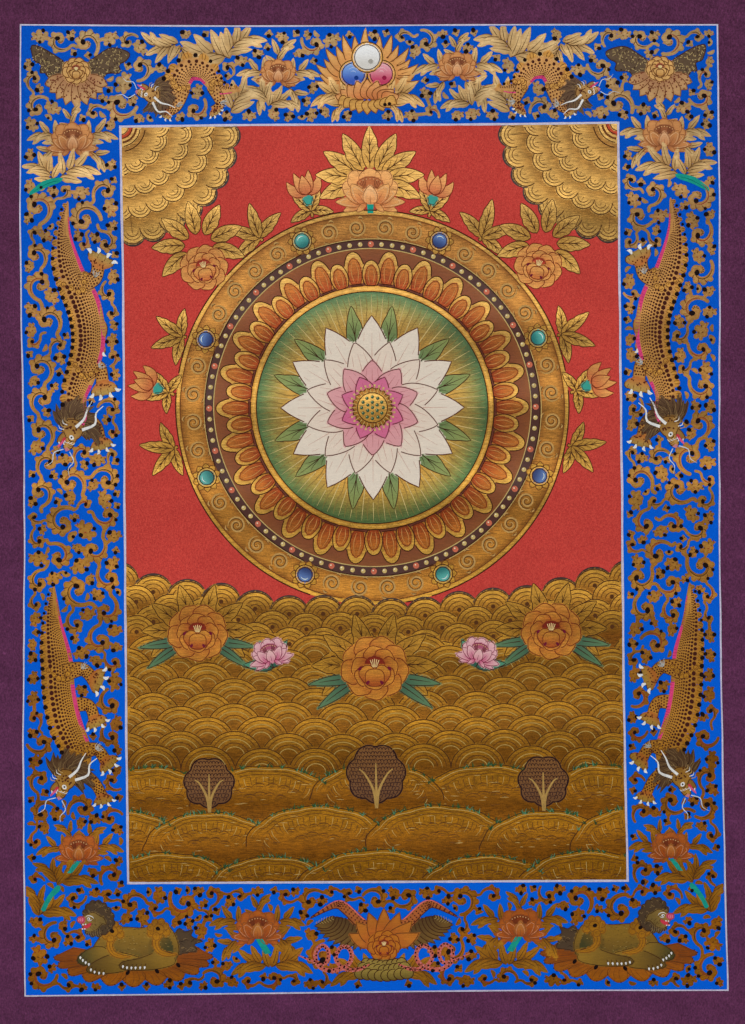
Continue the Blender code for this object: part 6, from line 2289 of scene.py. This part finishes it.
def gold_material(name, rough=0.42, metal=0.62, brush=0.5, blot_and_sheen=0.10):
    """Gold paint: short level brush marks, a fine grain where the metal breaks up over the cloth, broad level bands of
    lighter and darker gold that are painted sheen for light on the cloth's swells, and smaller patches that are partly
    uneven gold and partly painted sheen.
    """
    k = Nodes(name)
    tone = k.add("ShaderNodeAttribute", attribute_name="tone")
    streak = k.noise(520.0, (0.34, 1.0, 2.6), 2.0, 0.55)
    grain = k.noise(1250.0, (0.8, 1.0, 1.25), 2.0, 0.6)
    # patch: broad level bands, painted sheen for the light on the swells; mottle: patches, partly uneven gold and
    # partly painted sheen.
    patch = k.noise(22.0, (0.40, 1.0, 1.6), 3.0, 0.60)
    mottle = k.noise(95.0, (0.9, 1.0, 1.1), 2.0, 0.5)
    v = k.math("MULTIPLY", k.spread(streak, 0.32, 0.68, 1 - 0.32 * brush, 1 + 0.32 * brush), k.spread(grain, 0.30, 0.70, 1 - 0.34 * brush, 1 + 0.36 * brush))
    v = k.math("MULTIPLY", v, k.spread(patch, 0.32, 0.68, 1 - 1.5 * blot_and_sheen, 1 + 1.5 * blot_and_sheen))
    v = k.math("MULTIPLY", v, k.spread(mottle, 0.32, 0.68, 1 - blot_and_sheen, 1 + blot_and_sheen))
    share = k.math("MAXIMUM", tone.outputs["Alpha"], 0.12)
    v = k.math("ADD", k.math("MULTIPLY", k.math("SUBTRACT", v, 1.0), share), 1.0)
    k.link(k.times(tone.outputs["Color"], v), k.shader.inputs["Base Color"])
    k.link(k.math("MULTIPLY", tone.outputs["Alpha"], metal), k.shader.inputs["Metallic"])
    k.link(k.spread(grain, 0.3, 0.7, rough - 0.06, rough + 0.12), k.shader.inputs["Roughness"])
    k.shader.inputs["Specular IOR Level"].default_value = 0.24
    k.height(k.math("ADD", streak, grain), 0.30 + 0.22 * brush, 0.00016)
    return k.mat


def line_material(name, rough=0.66, gloss=0.1):
    """Brush lines and touches of opaque colour."""
    k = Nodes(name)
    tone = k.add("ShaderNodeAttribute", attribute_name="tone")
    grain = k.noise(1200.0, (1, 1, 1), 2.0, 0.6)
    wash = k.noise(260.0, (1, 1, 1), 2.0, 0.5)
    v = k.math("MULTIPLY", k.spread(grain, 0.3, 0.7, 0.84, 1.16), k.spread(wash, 0.3, 0.7, 0.90, 1.10))
    k.link(k.times(tone.outputs["Color"], v), k.shader.inputs["Base Color"])
    k.set(Roughness=rough)
    k.shader.inputs["Specular IOR Level"].default_value = gloss
    k.height(grain, 0.25, 0.00010)
    return k.mat


def bare_canvas(name):
    """The unpainted back: pale cotton with its weave, and the size that has soaked through."""
    k = Nodes(name)
    sep = k.add("ShaderNodeSeparateXYZ")
    k.link(k.coord.outputs["Object"], sep.inputs[0])
    level = k.add("ShaderNodeTexWave", wave_type="BANDS", bands_direction="Z", wave_profile="SIN")
    upright = k.add("ShaderNodeTexWave", wave_type="BANDS", bands_direction="X", wave_profile="SIN")
    for w in (level, upright):
        w.inputs["Scale"].default_value = 260.0
        w.inputs["Distortion"].default_value = 1.2
        w.inputs["Detail"].default_value = 1.0
        k.link(k.coord.outputs["Object"], w.inputs["Vector"])
    threads = k.math("MULTIPLY", level.outputs["Fac"], upright.outputs["Fac"])
    slub = k.noise(420.0, (0.12, 1.0, 1.0), 3.0, 0.6)
    cloud = k.noise(9.0, (1, 1, 1), 4.0, 0.6)
    tone = k.add("ShaderNodeAttribute", attribute_name="tone")
    col = k.times(tone.outputs["Color"], k.spread(threads, 0.0, 0.8, 0.74, 1.10))
    col = k.times(col, k.spread(slub, 0.3, 0.7, 0.90, 1.10))
    col = k.times(col, k.spread(cloud, 0.3, 0.7, 0.90, 1.08))
    k.link(col, k.shader.inputs["Base Color"])
    k.set(Roughness=0.92)
    k.height(k.math("ADD", threads, slub), 0.5, 0.00030)
    return k.mat


def floor_material():
    k = Nodes("studio_floor")
    cloud = k.noise(3.0, (1, 1, 1), 2.0, 0.5)
    k.link(k.two((0.83, 0.82, 0.80), (0.87, 0.86, 0.84), cloud), k.shader.inputs["Base Color"])
    k.set(Roughness=0.9)
    return k.mat


# ---------------------------------------------------------------- the sheet of canvas

def canvas_sheet():
    """Front and back of one uncut canvas, joined round the rim. The cells follow the ruled lines."""
    def steps(stops, size):
        out = [stops[0]]
        for a, b in zip(stops[:-1], stops[1:]):
            n = max(int(round((b - a) / size)), 1)
            out += [a + (b - a) * (i + 1) / n for i in range(n)]
        return np.array(out)

    xs = steps((LEFT_EDGE, OX0, IX0, IX1, OX1, RIGHT_EDGE), 18.0)
    ys = steps((TOP_EDGE, OY0, IY0, IY1, OY1, BOTTOM_EDGE), 3.2)
    X, Y = np.meshgrid(xs, ys)
    flat = np.stack([X.ravel(), Y.ravel()], 1)
    front = place(flat)
    back = front + (0, THICKNESS, 0)
    ny, nx = X.shape
    n = nx * ny
    i, j = np.meshgrid(np.arange(nx - 1), np.arange(ny - 1))
    a = (j * nx + i).ravel()
    face_front = np.stack([a, a + nx, a + nx + 1, a + 1], 1)
    face_back = face_front[:, ::-1] + n
    mid = flat[face_front].mean(1)
    in_border = (mid[:, 0] > OX0) & (mid[:, 0] < OX1) & (mid[:, 1] > OY0) & (mid[:, 1] < OY1)
    in_panel = (mid[:, 0] > IX0) & (mid[:, 0] < IX1) & (mid[:, 1] > IY0) & (mid[:, 1] < IY1)
    kind = np.where(in_panel, 2, np.where(in_border, 1, 0))
    rim = []
    for q in range(nx - 1):
        rim.append((q, q + 1, q + 1 + n, q + n))
        b = (ny - 1) * nx + q
        rim.append((b, b + n, b + 1 + n, b + 1))
    for q in range(ny - 1):
        b = q * nx
        rim.append((b, b + n, b + nx + n, b + nx))
        b = q * nx + nx - 1
        rim.append((b, b + nx, b + nx + n, b + n))
    faces = face_front.tolist() + face_back.tolist() + rim
    slots = np.concatenate([kind, np.full(len(face_back), 3), np.zeros(len(rim), int)])
    # what soaks through to the back
    soak = np.array([(0.50, 0.42, 0.37)] * len(flat))
    inb = (flat[:, 0] > OX0 + 1) & (flat[:, 0] < OX1 - 1) & (flat[:, 1] > OY0 + 1) & (flat[:, 1] < OY1 - 1)
    inp = (flat[:, 0] > IX0 - 1) & (flat[:, 0] < IX1 + 1) & (flat[:, 1] > IY0 - 1) & (flat[:, 1] < IY1 + 1)
    soak[inb] = (0.56, 0.53, 0.47)
    soak[inp] = (0.60, 0.55, 0.46)
    tone = np.concatenate([soak, soak])
    tone = np.concatenate([tone, np.ones((len(tone), 1))], 1)
    me = bpy.data.meshes.new("painted_canvas_cloth")
    verts = np.vstack([front, back])
    me.from_pydata(verts.tolist(), [], faces)
    layer = me.color_attributes.new(name="tone", type="FLOAT_COLOR", domain="POINT")
    layer.data.foreach_set("color", tone.astype(np.float32).ravel())
    uv = me.uv_layers.new(name="OFBake")
    index = np.empty(len(me.loops), dtype=np.int32)
    me.loops.foreach_get("vertex_index", index)
    side = np.repeat(np.concatenate([np.zeros(len(face_front)), np.ones(len(face_back)), np.full(len(rim), 2)]),
                     [len(f) for f in faces])
    co = verts[index]
    u = (co[:, 0] + 0.32) / 0.65 * 0.49
    v = (co[:, 2] + 0.86) / 0.87 * 0.985 + 0.008
    u = np.where(side == 0, u + 0.003, np.where(side == 1, 0.997 - u, 0.4985 + (co[:, 1] + 0.004) * 0.2))
    uv.data.foreach_set("uv", np.stack([u, v], 1).astype(np.float32).ravel())
    me.polygons.foreach_set("material_index", slots.astype(np.int32))
    me.update()
    me.shade_smooth()
    me.set_sharp_from_angle(angle=0.7)
    # The plum and blue grounds carry a foot colour: they grow lighter downwards, painted light.
    for m in (
        paint_material("plum_ground", (0.066, 0.0150, 0.042), (0.128, 0.0320, 0.089), 0.82, foot=(0.130, 0.0320, 0.096), mottle=0.30),
        paint_material("blue_ground", (0.001, 0.074, 0.505), (0.002, 0.112, 0.645), 0.78, foot=(0.001, 0.162, 0.96), gloss=0.035),
        paint_material("red_ground", (0.480, 0.034, 0.028), (0.700, 0.078, 0.058), 0.80, mottle=0.06),
        bare_canvas("bare_canvas"),
    ):
        me.materials.append(m)
    ob = bpy.data.objects.new("painted_canvas_cloth", me)
    bpy.context.scene.collection.objects.link(ob)
    return ob


def ruled_lines():
    """The two pale lines that frame the border, ruled by hand."""
    rng = np.random.default_rng(5)
    ink = Ink()
    pale = (0.60, 0.56, 0.70)
    for x0, x1, y0, y1, w in ((OX0, OX1, OY0, OY1, 1.5), (IX0, IX1, IY0, IY1, 2.2)):
        for a, b in (((x0, y0), (x1, y0)), ((x1, y0), (x1, y1)), ((x1, y1), (x0, y1)), ((x0, y1), (x0, y0))):
            a, b = np.array(a), np.array(b)
            n = int(np.hypot(*(b - a)) / 3.0)
            t = np.linspace(0, 1, n)[:, None]
            e = (b - a) / np.hypot(*(b - a))
            p = a - e * w / 2 + (b - a + e * w) * t
            width = w * (1 + 0.10 * np.sin(t[:, 0] * 47 + x0) + rng.uniform(-0.06, 0.06, n))
            ink.line(p, width, pale, 4, None)
    return ink


# ---------------------------------------------------------------- build

HEIGHTS = np.array([0.00010, 0.00022, 0.00028, 0.00033, 0.00038, 0.00042])


def main():
    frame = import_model()
    node = frame["nodes"]["painted_canvas"]

    pieces = []
    cloth = canvas_sheet()
    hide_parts("painted_canvas")
    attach(cloth, "root")

    gold = gold_material("border_gold", 0.42, 0.66, 0.42)
    panel_gold = gold_material("panel_gold", 0.38, 0.72, 1.0)
    inks = line_material("brush_lines", 0.70, 0.06)
    touches = line_material("opaque_touches", 0.62, 0.22)

    # border
    field, ink = paint_border()
    P, F, C = cut_out(field)
    for name, test in (
        ("border_gold_left", lambda x, y: x < IX0),
        ("border_gold_right", lambda x, y: x > IX1),
        ("border_gold_top", lambda x, y: (x >= IX0) & (x <= IX1) & (y < 500)),
        ("border_gold_foot", lambda x, y: (x >= IX0) & (x <= IX1) & (y >= 500)),
    ):
        p, f, c = keep_faces(P, F, C, test)
        pieces.append(make_piece(name, place(p, 0.00016), facing(p, f), painted_shade_down(p, c), gold))

    def ink_pieces(items, prefix):
        dark = [q for q in items if max(q[3]) < 0.40]
        bright = [q for q in items if max(q[3]) >= 0.40]
        for part, name, material in ((dark, prefix + "_lines", inks), (bright, prefix + "_touches", touches)):
            if not part:
                continue
            p, f, c, h = ribbons(part)
            v = place(p)
            v[:, 1] -= HEIGHTS[h.astype(int)]
            pieces.append(make_piece(name, v, f, c, material))

    ink_pieces(ink.items, "border")

    # centre panel
    base, field, rings, ink = paint_panel()
    P, F, C = cut_out(base)
    pieces.append(make_piece("panel_water_ground", place(P, 0.00005), facing(P, F), painted_shade_down(P, C), panel_gold))
    pts, faces, cols, n = [], {4: []}, [], 0
    for r in rings:
        pts.append(r.verts)
        cols.append(r.cols)
        faces[4] += [f + n for f in r.faces]
        n += len(r.verts)
    P, C = np.vstack(pts), np.vstack(cols)
    pieces.append(make_piece("panel_rings", place(P, 0.00009), facing(P, [np.vstack(faces[4])]), painted_shade_down(P, C), panel_gold))
    P, F, C = cut_out(field)
    for name, test in (
        ("panel_gold_top", lambda x, y: y < 330),
        ("panel_gold_middle", lambda x, y: (y >= 330) & (y < 600)),
        ("panel_gold_foot", lambda x, y: y >= 600),
    ):
        p, f, c = keep_faces(P, F, C, test)
        pieces.append(make_piece(name, place(p, 0.00016), facing(p, f), painted_shade_down(p, c), panel_gold))
    ink_pieces(ink.items, "panel")

    # ruled lines
    p, f, c, h = ribbons(ruled_lines().items)
    v = place(p)
    v[:, 1] -= HEIGHTS[h.astype(int)]
    pieces.append(make_piece("ruled_lines", v, f, c, touches))

    for ob in pieces:
        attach(ob, "root")

    # stage
    bpy.ops.mesh.primitive_plane_add(size=40.0, location=(0, 0, -0.90))
    floor = bpy.context.object
    floor.name = "studio_floor"
    floor.data.materials.append(floor_material())

    world = bpy.data.worlds.new("studio")
    bpy.context.scene.world = world
    world.use_nodes = True
    world.node_tree.nodes["Background"].inputs["Color"].default_value = (0.90, 0.92, 0.95, 1)
    world.node_tree.nodes["Background"].inputs["Strength"].default_value = 0.35

    def area(name, at, aim, size, power, colour):
        data = bpy.data.lights.new(name, "AREA")
        data.shape = "RECTANGLE"
        data.size, data.size_y = size
        data.energy = power
        data.color = colour
        ob = bpy.data.objects.new(name, data)
        bpy.context.scene.collection.objects.link(ob)
        ob.location = at
        d = np.array(aim) - np.array(at)
        d = d / np.linalg.norm(d)
        from mathutils import Vector
        ob.rotation_euler = Vector(d).to_track_quat("-Z", "Y").to_euler()
        return ob

    area("key", (-0.02, -2.5, 0.56), (0, 0, -0.42), (1.8, 0.45), 24.0, (1.0, 0.985, 0.96))
    area("fill", (-0.7, -2.3, -0.95), (0, 0, -0.55), (2.0, 1.0), 15.5, (0.97, 0.98, 1.0))
    area("rear", (0.3, 1.9, 0.6), (0, 0, -0.4), (1.6, 1.2), 26.0, (1.0, 0.99, 0.97))

    bpy.context.scene.view_settings.view_transform = "Standard"
    bpy.context.scene.view_settings.look = "None"

    cam_data = bpy.data.cameras.new("camera")
    cam_data.sensor_fit = "HORIZONTAL"
    cam_data.sensor_width = 36.0
    cam_data.lens = 36.0 * 2.2 / (745 * DOT)
    cam_data.clip_start, cam_data.clip_end = 0.05, 50.0
    cam = bpy.data.objects.new("camera", cam_data)
    bpy.context.scene.collection.objects.link(cam)
    cam.location = ((372.5 - X_ZERO) * DOT, -2.2, -(512 - Y_ZERO) * DOT)
    cam.rotation_euler = (math.radians(90), 0, 0)
    bpy.context.scene.camera = cam


main()
